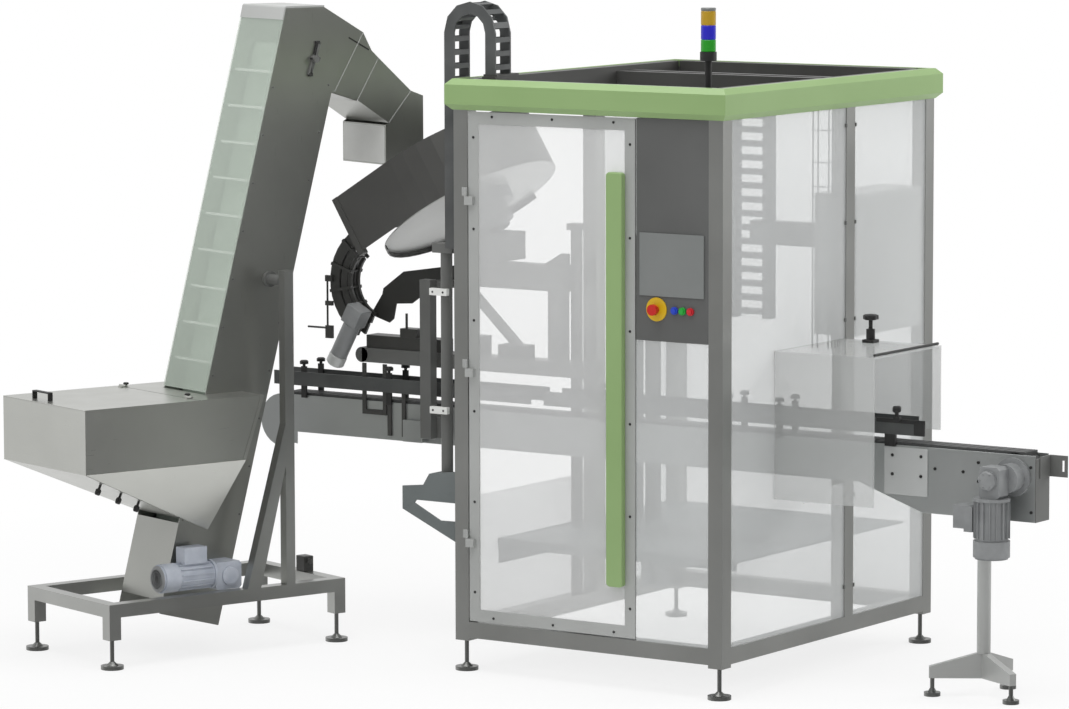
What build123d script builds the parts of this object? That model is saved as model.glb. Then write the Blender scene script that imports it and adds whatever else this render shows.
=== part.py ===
from build123d import *
from math import cos, pi, radians, sin
import os

os.makedirs("parts", exist_ok=True)

# All sizes are in millimetres. The line is laid out from the floor point under the middle
# of the cabinet, and is moved by these two amounts at the end, so that the origin lies
# under the middle of the whole row.
SHIFT_X = 296.4
SHIFT_Y = 380.8

# Cabinet
CAB_W, CAB_D = 1169.0, 1502.0        # over the posts, across the front and front to back
TUBE = 60.0                          # square posts and rails
POST_Z0 = 114.0                      # underside of the posts
RAIL_Z0, RAIL_Z1 = 126.0, 186.0
BAND_Z0, BAND_Z1 = 2086.0, 2200.0    # the green band round the top
BAND_OUT, BAND_T, BAND_CHAMFER = 24.2, 40.0, 21.0
MID_POST_Y = 136.0                   # middle post of the right side
HX, HY = CAB_W / 2, CAB_D / 2
SHEET = 3.0
PANEL_T = 6.0                        # clear panels

# Levelling feet
FOOT_R, FOOT_T, FOOT_CONE, ROD_R = 43.0, 14.0, 14.0, 8.0

# Front door, control column and the fixed panel under it
DOOR_X0, DOOR_X1 = -519.0, 211.0
DOOR_Z0, DOOR_Z1 = 191.0, 2081.0
DOOR_T, DOOR_STRIP = 8.0, 44.0
FACE_Y = -HY + 0.5
COL_X0, COL_X1, COL_Z0 = 217.0, HX - TUBE, 1284.0
HINGE_X, HINGE_Y, HINGE_R = -526.0, -HY - 8.0, 6.0

# Conveyor
CONV_Y, CONV_W = -136.0, 100.0
PLATE_Z0, PLATE_Z1, BELT_Z = 655.0, 895.0, 905.0
CONV_X0, CONV_X1 = -1872.0, 1542.0
SHAFT_X, SHAFT_Z = 1454.0, 814.0
CY0, CY1 = CONV_Y - CONV_W / 2, CONV_Y + CONV_W / 2
SLAT_PITCH, SLAT_GAP = 38.1, 2.0
STAND_X = 1311.0

# Guard over the way out
GUARD_X1 = 997.0
GUARD_Y0, GUARD_Y1 = -391.0, 94.0
GUARD_Z0, GUARD_Z1 = 690.0, 1232.0

# Elevator, in its own axes: U across it, V along its foot, turned in plan
ELEV_X, ELEV_Y, ELEV_TURN = -1749.0, -880.0, -18.9
BASE_U, BASE_V, BASE_TUBE = 293.0, 532.0, 50.0
BASE_Z0, BASE_Z1, LEG_Z0 = 195.0, 245.0, 110.0
CASE_U = 145.0                       # half the casing's width
LEAN = 0.263                         # V gained per millimetre of height
FRONT_V0 = -260.0                    # V of the casing's front line at floor height
CASE_DEPTH_V = 291.0                 # front line to rear line, level
FLIGHT_PITCH = 136.5
BELT_IN, BELT_OUT, FLIGHT_H = 78.0, 205.0, 62.0

# Hopper on the elevator
HOP_U, HOP_V0, HOP_Z0, HOP_Z1 = 293.0, -627.0, 742.0, 978.0
HOP_V1, HOP_V2, TIP_V, TIP_Z = 79.0, 164.0, 0.0, 466.0   # rear edge of the side walls; tip of the floor
HINGE_V = -119.0                     # hinge line of the lid

# Sorting bowl: tilted about the across axis, low side towards the elevator
BOWL_X, BOWL_Y, BOWL_Z, BOWL_TILT = -1060.0, 20.0, 1663.0, 31.5
BOWL_R, COLLAR_P0, COLLAR_N0, COLLAR_N1 = 365.0, -289.0, -35.0, 218.0

# Track that takes the sorted pieces into the cabinet
TRACK_Y, TRACK_W = -150.0, 90.0
TRACK_X0, TRACK_X1, TRACK_Z0, TRACK_Z1 = -1470.0, -360.0, 1062.0, 1118.0


def bx(x0, x1, y0, y1, z0, z1):
    size = abs(x1 - x0), abs(y1 - y0), abs(z1 - z0)
    return Pos((x0 + x1) / 2, (y0 + y1) / 2, (z0 + z1) / 2) * Box(*size)


def rod(p, q, r):
    a, d = Vector(*p), Vector(*q) - Vector(*p)
    return extrude(Plane(origin=a, z_dir=d) * Circle(r), d.length)


def pipe(p, q, r, bore):
    a, d = Vector(*p), Vector(*q) - Vector(*p)
    return extrude(Plane(origin=a, z_dir=d) * (Circle(r) - Circle(bore)), d.length)


def bar(p, q, w, h, up=(0, 0, 1)):
    """Straight bar from p to q, w wide and h measured towards up."""
    a, d = Vector(*p), Vector(*q) - Vector(*p)
    side = Vector(*up).cross(d)
    return extrude(Plane(origin=a, x_dir=side, z_dir=d) * Rectangle(w, h), d.length)


def face(points):
    return make_face(Polyline(*points, close=True))


def slab_x(points, x0, x1):
    """Outline given as Y and Z, from x0 to x1."""
    plane = Plane(origin=(x0, 0, 0), x_dir=(0, 1, 0), z_dir=(1, 0, 0))
    return extrude(plane * face(points), x1 - x0)


def slab_y(points, y0, y1):
    """Outline given as X and Z, from y0 to y1."""
    plane = Plane(origin=(0, y1, 0), x_dir=(1, 0, 0), z_dir=(0, -1, 0))
    return extrude(plane * face(points), y1 - y0)


def slab_z(points, z0, z1):
    return extrude(Plane(origin=(0, 0, z0)) * face(points), z1 - z0)


def sheet(points, toward, t=SHEET):
    """Flat sheet with the given corners in space, its thickness on the side of toward."""
    a, b, c = (Vector(*p) for p in points[:3])
    normal = (b - a).cross(c - b).normalized()
    if normal.dot(Vector(*toward)) < 0:
        normal = normal * -1
    return extrude(Face(Wire.make_polygon([Vector(*p) for p in points], close=True)), t, normal)


def apart(solids):
    """The same solids, each without what the ones before it already fill."""
    out = []
    for s in solids:
        for o in out:
            s = s - o
        out.append(s)
    return out


def foot(x, y, top, r=FOOT_R):
    disc = Pos(x, y, 0) * extrude(Circle(r), FOOT_T)
    cone = Pos(x, y, FOOT_T) * Cone(r * 0.55, ROD_R + 1, FOOT_CONE, align=(Align.CENTER, Align.CENTER, Align.MIN))
    return disc + cone + rod((x, y, FOOT_T), (x, y, top), ROD_R)


nodes = {}


def keep(name, *solids, at=None):
    flat = []
    for s in solids:
        flat += list(s) if isinstance(s, (list, tuple, ShapeList)) else [s]
    nodes[name] = [at * s for s in flat] if at else flat


# Cabinet frame: closed square tube, welded
corners = [(sx * (HX - TUBE / 2), sy * (HY - TUBE / 2)) for sx in (-1, 1) for sy in (-1, 1)]
h = TUBE / 2
POST_Z1 = BAND_Z1 - 24.0
feet = [foot(x, y, POST_Z0) for x, y in corners]
keep("cabinet_frame",
     [bx(x - h, x + h, y - h, y + h, POST_Z0, POST_Z1) for x, y in corners],
     [bx(sx * HX, sx * (HX - TUBE), MID_POST_Y - h, MID_POST_Y + h, RAIL_Z1, BAND_Z0) for sx in (-1, 1)],
     [bx(-HX + TUBE, HX - TUBE, y - h, y + h, RAIL_Z0, RAIL_Z1) for y in (-HY + h, HY - h)],
     [bx(x - h, x + h, -HY + TUBE, HY - TUBE, RAIL_Z0, RAIL_Z1) for x in (-HX + h, HX - h)])

# Band round the top: four sides with mitred ends, chamfered outside, open in the middle
ox, oy = HX + BAND_OUT, HY + BAND_OUT
c, t = BAND_CHAMFER, BAND_T
profile = [(0, BAND_Z0), (-t + c, BAND_Z0), (-t, BAND_Z0 + c), (-t, BAND_Z1 - c), (-t + c, BAND_Z1), (0, BAND_Z1)]


def band_side(length):
    """One side, its outside face towards -Y, ends cut at 45 degrees."""
    body = slab_x([(p[0], p[1]) for p in profile], -length / 2, length / 2)
    wedge = slab_z([(-length / 2 - 1, -t - 1), (-length / 2 - 1, 1), (-length / 2 + t + 1, 1)], 2000, 2300)
    body -= wedge
    return body - mirror(wedge, Plane.YZ)


def band_at(angle, dist, length):
    return Rot(0, 0, angle) * (Pos(0, -dist + t, 0) * band_side(length))


band = [band_at(0, oy, 2 * ox), band_at(180, oy, 2 * ox), band_at(90, ox, 2 * oy), band_at(-90, ox, 2 * oy)]
tops = [bx(x - h, x + h, y - h, y + h, POST_Z0, POST_Z1) for x, y in corners]
band = [b - tops for b in band]
keep("top_band", band)
beam_x = ox - BAND_T
beams = [bx(-beam_x, beam_x, y, y + 40, 2120, 2180) for y in (250, 330)]

# Front door: metal border, clear sheet, full height handle, hinges on its left edge
y0, y1 = FACE_Y, FACE_Y + DOOR_T
s = DOOR_STRIP
frame = bx(DOOR_X0, DOOR_X1, y0, y1, DOOR_Z0, DOOR_Z1)
frame -= bx(DOOR_X0 + s, DOOR_X1 - s, y0 - 5, y1 + 5, DOOR_Z0 + s, DOOR_Z1 - s)
hinge_z = [500.0, 1134.0, 1770.0]
for z in hinge_z:
    frame += bx(DOOR_X0 + 1, DOOR_X0 + 26, HINGE_Y, y0, z - 32, z - 0.3)
    frame += rod((HINGE_X, HINGE_Y, z - 32), (HINGE_X, HINGE_Y, z - 0.3), HINGE_R)
    frame += bx(HINGE_X, DOOR_X0 + 26, HINGE_Y - HINGE_R, HINGE_Y - HINGE_R + 3, z - 32, z - 0.3)
keep("door_frame", frame)
keep("door_hinges",
     [rod((HINGE_X, HINGE_Y, z + 0.3), (HINGE_X, HINGE_Y, z + 32), HINGE_R)
      + bx(HINGE_X - 26, HINGE_X, HINGE_Y - HINGE_R, -HY, z + 0.3, z + 32) for z in hinge_z])
keep("door_glass", bx(DOOR_X0 + s, DOOR_X1 - s, y0 + 1.5, y1 - 1.5, DOOR_Z0 + s, DOOR_Z1 - s))
handle = bx(84, 152, FACE_Y - 26, FACE_Y, 378, 1886)
handle = fillet(handle.edges().filter_by(Axis.Y), 14)
handle = fillet(handle.faces().sort_by(Axis.Y)[0].edges(), 5)
keep("door_handle", handle)

# Control column with its screen, stop button and lit buttons
keep("control_column", bx(COL_X0, COL_X1, FACE_Y, FACE_Y + 130, COL_Z0, BAND_Z0 - 2))
keep("screen", bx(233, 506, FACE_Y - 4, FACE_Y, 1447, 1674))


def button(x, z, r, depth):
    return extrude(Plane(origin=(x, FACE_Y, z), z_dir=(0, -1, 0)) * Circle(r), depth)


stop_stem = extrude(Plane(origin=(305, FACE_Y - 4, 1399), z_dir=(0, -1, 0)) * Circle(13), 22)
stop_cap = extrude(Plane(origin=(305, FACE_Y - 20, 1399), z_dir=(0, -1, 0)) * Circle(20), 16)
keep("stop_button", button(305, 1399, 43, 4), stop_stem + stop_cap)
keep("push_buttons", [button(x, 1398, 14, 8) + button(x, 1398, 9, 13) for x in (382, 416, 450)])

# Clear panels of the right side, the back and the left side
px0, px1 = HX - 9.0, HX - 3.0
pa, pb = -HY + TUBE, MID_POST_Y - h
pc, pd = MID_POST_Y + h, HY - TUBE
WIN_Z0, WIN_Z1 = GUARD_Z0, GUARD_Z1
keep("clear_panels",
     bx(COL_X0, COL_X1, FACE_Y, FACE_Y + PANEL_T, RAIL_Z1, COL_Z0),
     bx(px0, px1, pa, pb, WIN_Z1, BAND_Z0), bx(px0, px1, pc, pd, RAIL_Z1, BAND_Z0),
     bx(px0, px1, pa, GUARD_Y0, WIN_Z0, WIN_Z1),
     bx(px0, px1, pa, pb, RAIL_Z1, PLATE_Z0 - 6),
     bx(px0, px1, pa, CY0 - 6, PLATE_Z0 - 6, WIN_Z0), bx(px0, px1, CY1 + 6, pb, PLATE_Z0 - 6, WIN_Z0),
     bx(-HX + TUBE, HX - TUBE, HY - 9, HY - 3, RAIL_Z1, BAND_Z0),
     bx(-px1, -px0, pc, pd, RAIL_Z1, BAND_Z0), bx(-px1, -px0, pa, pb, RAIL_Z1, 640))
clamps = []
for z in (300, 640, 1300, 1660, 2020):
    clamps.append(bx(HX - 3, HX + 6, MID_POST_Y - h - 14, MID_POST_Y - h + 8, z - 14, z + 14))
    clamps.append(bx(HX - 3, HX + 6, MID_POST_Y + h - 8, MID_POST_Y + h + 14, z - 14, z + 14))
clamps = [k - bx(px0, HX, MID_POST_Y - h, MID_POST_Y + h, 100, 2200) for k in clamps]
keep("panel_clamps", clamps)

# Clear guard over the conveyor's way out, its knob and the stay rod
gx0 = px0
keep("exit_guard",
     bx(gx0, GUARD_X1, GUARD_Y0, GUARD_Y0 + PANEL_T, GUARD_Z0, GUARD_Z1 - PANEL_T),
     bx(gx0, GUARD_X1, GUARD_Y1 - PANEL_T, GUARD_Y1, GUARD_Z0 + 230, GUARD_Z1 - PANEL_T),
     bx(gx0, GUARD_X1, GUARD_Y0, GUARD_Y1, GUARD_Z1 - PANEL_T, GUARD_Z1))
kx, ky = 936, -300
knob = bx(kx - 22, kx + 22, ky - 18, ky + 18, GUARD_Z1, GUARD_Z1 + 34)
knob += rod((kx, ky, GUARD_Z1 + 34), (kx, ky, GUARD_Z1 + 106), 9)
knob += Pos(kx, ky, GUARD_Z1 + 104) * extrude(Circle(30), 26)
rx, rz = GUARD_X1 - 20, GUARD_Z1 + 5
keep("guard_knob", knob,
     rod((rx, GUARD_Y0 + 30, rz), (rx, GUARD_Y1 + 46, rz), 5) + rod((rx, GUARD_Y1 + 34, rz), (rx, GUARD_Y1 + 58, rz), 10))

# Conveyor: two side plates, a slat chain, end covers and the bracket at the outgoing end
plates = [bx(CONV_X0 + 60, CONV_X1, y, y + SHEET, PLATE_Z0, PLATE_Z1) for y in (CY0, CY1 - SHEET)]
ends = []
for yy in (CY0, CY1 - SHEET):
    cap = bx(CONV_X0 + 30, CONV_X0 + 60, yy, yy + SHEET, 700, PLATE_Z1 - 30)
    cap += extrude(Plane(origin=(CONV_X0 + 60, yy + SHEET, 790), z_dir=(0, -1, 0)) * Circle(105), SHEET)
    cap -= bx(CONV_X0 + 60, CONV_X0 + 200, yy - 1, yy + SHEET + 1, 600, 1000)
    ends.append(cap)
belt_y0, belt_y1 = CY0 + SHEET + 4, CY1 - SHEET - 4
belt_x0, belt_x1 = CONV_X0 + 40, CONV_X1 - 18
keep("conveyor_belt", bx(belt_x0, belt_x1, belt_y0, belt_y1, BELT_Z - 12, BELT_Z),
     bx(belt_x0 + 70, belt_x1 - 70, CY0 + SHEET, CY1 - SHEET, 690, BELT_Z - 12))
hook = bx(CONV_X1 + 4, CONV_X1 + 76, CY1, CY1 + 4, 812, 890) - bx(CONV_X1 + 54, CONV_X1 + 63, CY1 - 2, CY1 + 6, 832, 872)
keep("conveyor_plates", plates, ends,
     bx(CONV_X1, CONV_X1 + 4, CY0, CY1, 657, 884),
     bx(CONV_X1 + 4, CONV_X1 + 8, CY0 + 24, CY1 + 4, 812, 890), hook - bx(CONV_X1 + 4, CONV_X1 + 8, CY0, CY1 + 5, 800, 900),
     bx(897, 1102, CY0 - SHEET, CY0, 721, 885), bx(1224, 1248, CY0, CY0 + 24, 640, PLATE_Z0))

# Drive at the outgoing end: flange, worm gearbox and motor hanging below it
gy = CY0 - 100                                       # centre of the gearbox
gear = bx(SHAFT_X - 66, SHAFT_X + 16, gy - 34, gy + 34, 748, 862)
gear = chamfer(gear.edges().filter_by(Axis.Y), 10)
gear += extrude(Plane(origin=(1425, gy + 34, SHAFT_Z), z_dir=(0, -1, 0)) * Circle(36), 74)
flange = extrude(Plane(origin=(SHAFT_X, CY0, SHAFT_Z), z_dir=(0, -1, 0)) * Circle(70), 12)
flange += extrude(Plane(origin=(SHAFT_X, CY0 - 12, SHAFT_Z), z_dir=(0, -1, 0)) * Circle(52), 56)
gear += flange


def motor(p, q, r, fins, tb_dir, tb_r):
    """Finned motor from its flange at p to its fan end at q; terminal box towards tb_dir."""
    a, b = Vector(*p), Vector(*q)
    d = (b - a).normalized()
    length = (b - a).length
    pl = Plane(origin=a, x_dir=Vector(*tb_dir), z_dir=d)
    core = extrude(pl * Circle(r * 0.86), length * 0.72)
    for k in range(fins):
        ang = 360.0 * k / fins
        fin = pl * Rot(0, 0, ang) * Pos(r * 0.9, 0, length * 0.36) * Box(r * 0.2, 3.0, length * 0.6)
        core += fin
    core += extrude(pl * Circle(r), 10)
    shell = Pos(0, 0, 0) * extrude(pl.offset(length * 0.70) * Circle(r), length * 0.27)
    shell += extrude(pl.offset(length * 0.97) * Circle(r * 0.9), length * 0.03)
    tb = pl * Pos(r + tb_r / 2 - 6, 0, length * 0.36) * Box(tb_r, r * 1.1, length * 0.42)
    return core + shell + tb


keep("outfeed_drive", gear, motor((1423, gy, 748), (1423, gy, 530), 66, 16, (-1, 0, 0), 34))

# Stand of the outgoing end: pipe on a folded three-legged foot
stand_feet = [(1155, -234), (1469, -218), (1312, 45)]
feet += [foot(fx, fy, 66, 30) for fx, fy in stand_feet]
legs = [rod((STAND_X, CONV_Y, 156), (STAND_X, CONV_Y, 645), 25), bx(STAND_X - 60, STAND_X + 60, CY0, CY1, 645, PLATE_Z0)]
for fx, fy in stand_feet:
    d = Vector(fx - STAND_X, fy - CONV_Y, 0)
    leg = slab_x([(0, 66), (0, 156), (28, 156), (d.length + 12, 108), (d.length + 12, 66)], -14, 14)
    turn = Vector(0, 1, 0).get_signed_angle(d.normalized(), Vector(0, 0, 1))
    legs.append(Pos(STAND_X, CONV_Y, 0) * Rot(0, 0, turn) * leg)
keep("outfeed_stand", apart(legs))

# Guide rails over the belt, with their posts
rails = []
for yy, sgn in ((CY0 - 15, -1), (CY1 + 15, 1)):
    rails.append(bx(-1840, -620, yy - 5 * sgn, yy, 934, 988))
    rails.append(bx(-560, 1095 if sgn < 0 else 1000, yy - 5 * sgn, yy, 934, 988))
keep("guide_rails", rails)
posts = []
for gxp in (-1700, -1290, -300, 260, 480, 930):
    for yy, sgn in ((CY0, -1), (CY1, 1)):
        post = bx(gxp - 12, gxp + 12, yy, yy + sgn * 10, 886, 1010)
        post += rod((gxp, yy + sgn * 5, 1010), (gxp, yy + sgn * 5, 1024), 7)
        post += Pos(gxp, yy + sgn * 5, 1024) * extrude(Circle(17), 12)
        posts.append(post)
keep("rail_posts", posts)

# Elevator: base frame and feet
EL = Location((ELEV_X, ELEV_Y, 0), (0, 0, ELEV_TURN))
u1, v1, e = BASE_U, BASE_V, BASE_TUBE
feet += [EL * foot(su * (u1 - 25), sv * (v1 - 25), LEG_Z0) for su in (-1, 1) for sv in (-1, 1)]
keep("levelling_feet", feet)
post_u0, post_v0, post_t = 253.0, 262.0, 40.0
carriers = []
for su in (-1, 1):
    carriers.append(bx(su * post_u0, su * (post_u0 + post_t), post_v0, post_v0 + post_t, BASE_Z1, 1445))
    strut = slab_x([(85, BASE_Z1), (post_v0, 860), (post_v0, 700), (145, BASE_Z1)], post_u0, post_u0 + post_t)
    carriers.append(strut if su > 0 else mirror(strut, Plane.YZ))
keep("elevator_frame", carriers,
     bx(-u1, -u1 + e, -v1, v1, BASE_Z0, BASE_Z1), bx(u1 - e, u1, -v1, v1, BASE_Z0, BASE_Z1),
     bx(-u1 + e, u1 - e, -v1, -v1 + e, BASE_Z0, BASE_Z1), bx(-u1 + e, u1 - e, v1 - e, v1, BASE_Z0, BASE_Z1),
     [bx(su * u1, su * (u1 - e), sv * v1, sv * (v1 - e), LEG_Z0, BASE_Z0) for su in (-1, 1) for sv in (-1, 1)],
     at=EL)


def front_v(z):
    return FRONT_V0 + LEAN * z


def rear_v(z):
    return front_v(z) + CASE_DEPTH_V


# Casing: two side plates that follow the belt up, with the head at the top
HEAD_Z = 2102.0
foot_edge = [(46, 91), (front_v(162), 162)]
leg_side = [foot_edge[0], foot_edge[1], (front_v(HEAD_Z), HEAD_Z), (rear_v(HEAD_Z) + 2, HEAD_Z)]
head_side = [(front_v(HEAD_Z), HEAD_Z), (379, 2429), (555, 2428), (735, 2326), (774, 2255), (806, 2226),
             (706, 2066), (rear_v(HEAD_Z) + 2, HEAD_Z)]
cu = CASE_U
sides = []
for a, b in ((cu - SHEET, cu), (-cu, -cu + SHEET)):
    sides += [slab_x(leg_side, a, b), slab_x(head_side, a, b)]
inner = cu - SHEET


def strip(points, t, side=1):
    """Folded sheet that follows the points, between the side plates."""
    out = []
    for a, b in zip(points, points[1:]):
        d = Vector(b[0] - a[0], b[1] - a[1], 0).normalized()
        nrm = Vector(-d.Y, d.X, 0) * t * side
        out.append(slab_x([a, b, (b[0] + nrm.X, b[1] + nrm.Y), (a[0] + nrm.X, a[1] + nrm.Y)], -inner, inner))
    return out


keep("elevator_cover", slab_x([(front_v(987), 987), (front_v(2384), 2384), (front_v(2384) - 5, 2385.5),
                               (front_v(987) - 5, 988.5)], -cu, cu), at=EL)
keep("elevator_head_cap",
     slab_x([(front_v(2384), 2384), (front_v(2384) - 5, 2385.5), (373, 2431), (379, 2429)], -cu, cu),
     slab_x([(373, 2431), (378, 2436), (555, 2435), (555, 2428), (379, 2429)], -cu, cu), at=EL)
low_front = slab_x([(front_v(210), 210), (front_v(500), 500), (front_v(500) + 3, 500), (front_v(210) + 3, 210)],
                   -inner, inner)
keep("elevator_casing", sides, low_front, strip([(46, 91), (rear_v(HEAD_Z), HEAD_Z - 2)], SHEET, 1),
     apart(strip([(555, 2428), (735, 2326), (774, 2255)], SHEET, -1)), at=EL)

# Discharge chute: closed spout in two bends
w1 = w2 = cu
spout_a = [(706, 2066), (806, 2226), (958, 2093), (853, 1973)]
spout_b = [(853, 1973), (958, 2093), (1016, 2072), (1017, 1810), (838, 1810), (838, 1965)]
chute = []
for w, outline in ((w1, spout_a), (w2, spout_b)):
    chute += [slab_x(outline, w - SHEET, w), slab_x(outline, -w, -w + SHEET)]
chute += [slab_x([(806, 2226), (958, 2093), (956, 2090.5), (804, 2223.5)], -w1 + SHEET, w1 - SHEET)]
chute += [slab_x([(706, 2066), (853, 1973), (855, 1975.5), (708, 2068.5)], -w1 + SHEET, w1 - SHEET)]
chute += [slab_x([(1013, 1810), (1013, 2070), (1016, 2070), (1017, 1810)], -w2 + SHEET, w2 - SHEET)]
chute += [slab_x([(958, 2093), (1016, 2072), (1015, 2069), (957, 2090)], -w2 + SHEET, w2 - SHEET)]
chute += [slab_x([(838, 1810), (838, 1965), (841, 1965), (841, 1810)], -w2 + SHEET, w2 - SHEET)]
floor = slab_x([(rear_v(HEAD_Z) + 2, HEAD_Z - 3), (706, 2063), (706, 2066), (rear_v(HEAD_Z) + 2, HEAD_Z)], -inner, inner)
keep("discharge_chute", apart(chute), floor, at=EL)

# Belt loop with its flights
belt_pts = [(front_v(330) + BELT_IN, 330), (front_v(2290) + BELT_IN, 2290),
            (front_v(2250) + BELT_OUT, 2250), (front_v(290) + BELT_OUT, 290)]
loop = slab_x(belt_pts, -inner + 12, inner - 12)
z = 400.0
while z < 2290:
    v = front_v(z) + BELT_IN
    loop += slab_x([(v + 4, z), (v - FLIGHT_H, z + 12), (v - FLIGHT_H, z + 15), (v + 4, z + 6)], -inner + 14, inner - 14)
    z += FLIGHT_PITCH
keep("elevator_belt", loop, at=EL)

# Pivots between the posts and the casing, and the latch of the head
pivots = [rod((su * cu, 290, 1402), (su * post_u0, 290, 1402), 20)
          + rod((su * cu, 290, 1402), (su * (cu + 14), 290, 1402), 30) for su in (-1, 1)]
latch = bar((cu + 4, 482, 2172), (cu + 4, 527, 2296), 16, 8, (1, 0, 0))
latch += rod((cu, 505, 2232), (cu + 22, 505, 2232), 14)
keep("casing_fittings", pivots, latch, at=EL)

# Hopper: open box with sloped floor, wings on both sides of the casing
hu, hv0, hz0, hz1 = HOP_U, HOP_V0, HOP_Z0, HOP_Z1
fall = (hz0 - TIP_Z) / (TIP_V - hv0)
zf = (hz0 - fall * (FRONT_V0 - hv0)) / (1 + fall * LEAN)     # floor meets the casing's front
vf = front_v(zf)
uf = hu - (hu - cu) * (vf - hv0) / (TIP_V - hv0)
side_wall = [(hv0 + SHEET, hz0), (hv0 + SHEET, hz1), (HOP_V2, hz1), (HOP_V1, hz0)]
hopper = [bx(-hu, hu, hv0, hv0 + SHEET, hz0, hz1), slab_x(side_wall, hu - SHEET, hu), slab_x(side_wall, -hu, -hu + SHEET),
          sheet([(-hu, hv0, hz0), (hu, hv0, hz0), (uf, vf, zf), (-uf, vf, zf)], (0, -1, -1))]
halves = [sheet([(hu, hv0, hz0), (hu, HOP_V1, hz0), (cu, TIP_V, TIP_Z)], (1, 0, -1)),
          sheet([(uf, vf, zf), (cu, vf, zf), (cu, TIP_V, TIP_Z)], (0, -1, -1)),
          sheet([(cu, HOP_V1, hz0), (hu, HOP_V1, hz0), (hu, HOP_V2, hz1), (cu, HOP_V2, hz1)], (0, 1, -1)),
          sheet([(cu, HOP_V1, hz0), (cu, TIP_V, TIP_Z), (hu, HOP_V1, hz0)], (0, 1, -1))]
hopper += halves + [mirror(s, Plane.YZ) for s in halves]
lid_z = hz1 + 0.5
v_case = front_v(hz1 + 3)
hopper += [bx(-hu, hu, HINGE_V, v_case - 8, hz1, hz1 + SHEET)]
hopper += [bx(su * (cu + 0.5), su * hu, v_case - 8, HOP_V2, hz1, hz1 + SHEET) for su in (-1, 1)]
pin_z = hz1 + 8
hinge_u = (-250, 212)
for uu in hinge_u:
    hopper.append(rod((uu - 22, HINGE_V - 3, pin_z), (uu - 0.4, HINGE_V - 3, pin_z), 4)
                  + bx(uu - 22, uu - 0.4, HINGE_V, HINGE_V + 18, hz1 + SHEET, pin_z))
keep("hopper", apart(hopper), at=EL)
lid = bx(-hu, hu, hv0, HINGE_V - 6, lid_z, lid_z + SHEET)
for uu in hinge_u:
    lid += rod((uu + 0.4, HINGE_V - 3, pin_z), (uu + 22, HINGE_V - 3, pin_z), 4)
    lid += bx(uu + 0.4, uu + 22, HINGE_V - 24, HINGE_V - 4, lid_z + SHEET, pin_z)
keep("hopper_lid", lid, at=EL)
top = lid_z + SHEET
grip = rod((-150, -576, top), (-150, -576, top + 34), 6) + rod((-34, -576, top), (-34, -576, top + 34), 6)
grip += rod((-156, -576, top + 34), (-28, -576, top + 34), 7)
keep("lid_handle", grip, at=EL)

# Drive of the elevator
keep("elevator_drive",
     chamfer(bx(cu, cu + 96, -26, 90, BASE_Z1, 350).edges().filter_by(Axis.X), 10)
     + rod((cu + 96, 38, 296), (cu + 104, 38, 296), 36),
     motor((cu + 60, -26, 306), (cu + 60, -262, 306), 55, 14, (0, 0, 1), 62), at=EL)
keep("switch_box", bx(190, 285, 395, 470, BASE_Z1, BASE_Z1 + 62), at=EL)

# Sorting bowl: D-shaped collar over a round pan, tilted
SO = Location((BOWL_X, BOWL_Y, BOWL_Z), (0, -BOWL_TILT, 0))
R, p0, n0, n1 = BOWL_R, COLLAR_P0, COLLAR_N0, COLLAR_N1


def d_outline(r, left):
    return make_face(Polyline((0, -r), (left, -r), (left, r), (0, r)) + ThreePointArc((0, r), (r, 0), (0, -r)))


collar = extrude(d_outline(R, p0), n1 - n0) - extrude(d_outline(R - SHEET, p0 + SHEET), n1 - n0)
collar = Pos(0, 0, n0) * collar
keep("bowl_collar", collar,
     bx(p0 - 26, p0, -R - 4, -R + 26, n0 - 12, n1), bx(p0 - 26, p0, R - 26, R + 4, n0 - 12, n1),
     bx(p0 - 16, p0, -R + 26, R - 26, n0 - 12, n0 + 20), at=SO)
pan = Pos(0, 0, -2) * extrude(Circle(R - SHEET - 1), 4)
pan &= Pos(0, 0, -2) * extrude(d_outline(R - SHEET - 0.5, p0 + SHEET + 0.5), 4)
cone = Pos(0, 0, 16) * Cone(90, 30, 40, align=(Align.CENTER, Align.CENTER, Align.MIN))
keep("bowl_pan", pan, Pos(0, 0, 2) * extrude(Circle(255), 14) + cone, at=SO)
keep("bowl_motor",
     Pos(60, 0, -2 - 60) * extrude(Circle(120), 60) + Pos(60, 0, -2 - 130) * extrude(Circle(85), 70)
     + Pos(60, 0, -2 - 215) * extrude(Circle(60), 85), at=SO)

# Curved chute: a quarter-ring channel from the bowl's low edge down to the track
CH_X, CH_Z, CH_R0, CH_R1 = -1333.0, 1356.0, 131.0, 232.0
ch_y0, ch_y1 = TRACK_Y - 48, TRACK_Y + 48


def ring(r0, r1, a0, a1, ya, yb):
    steps = 10
    angs = [radians(a0 + (a1 - a0) * i / steps) for i in range(steps + 1)]
    pts = [(CH_X + r1 * cos(a), CH_Z + r1 * sin(a)) for a in angs]
    pts += [(CH_X + r0 * cos(a), CH_Z + r0 * sin(a)) for a in reversed(angs)]
    return slab_y(pts, ya, yb)


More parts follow.
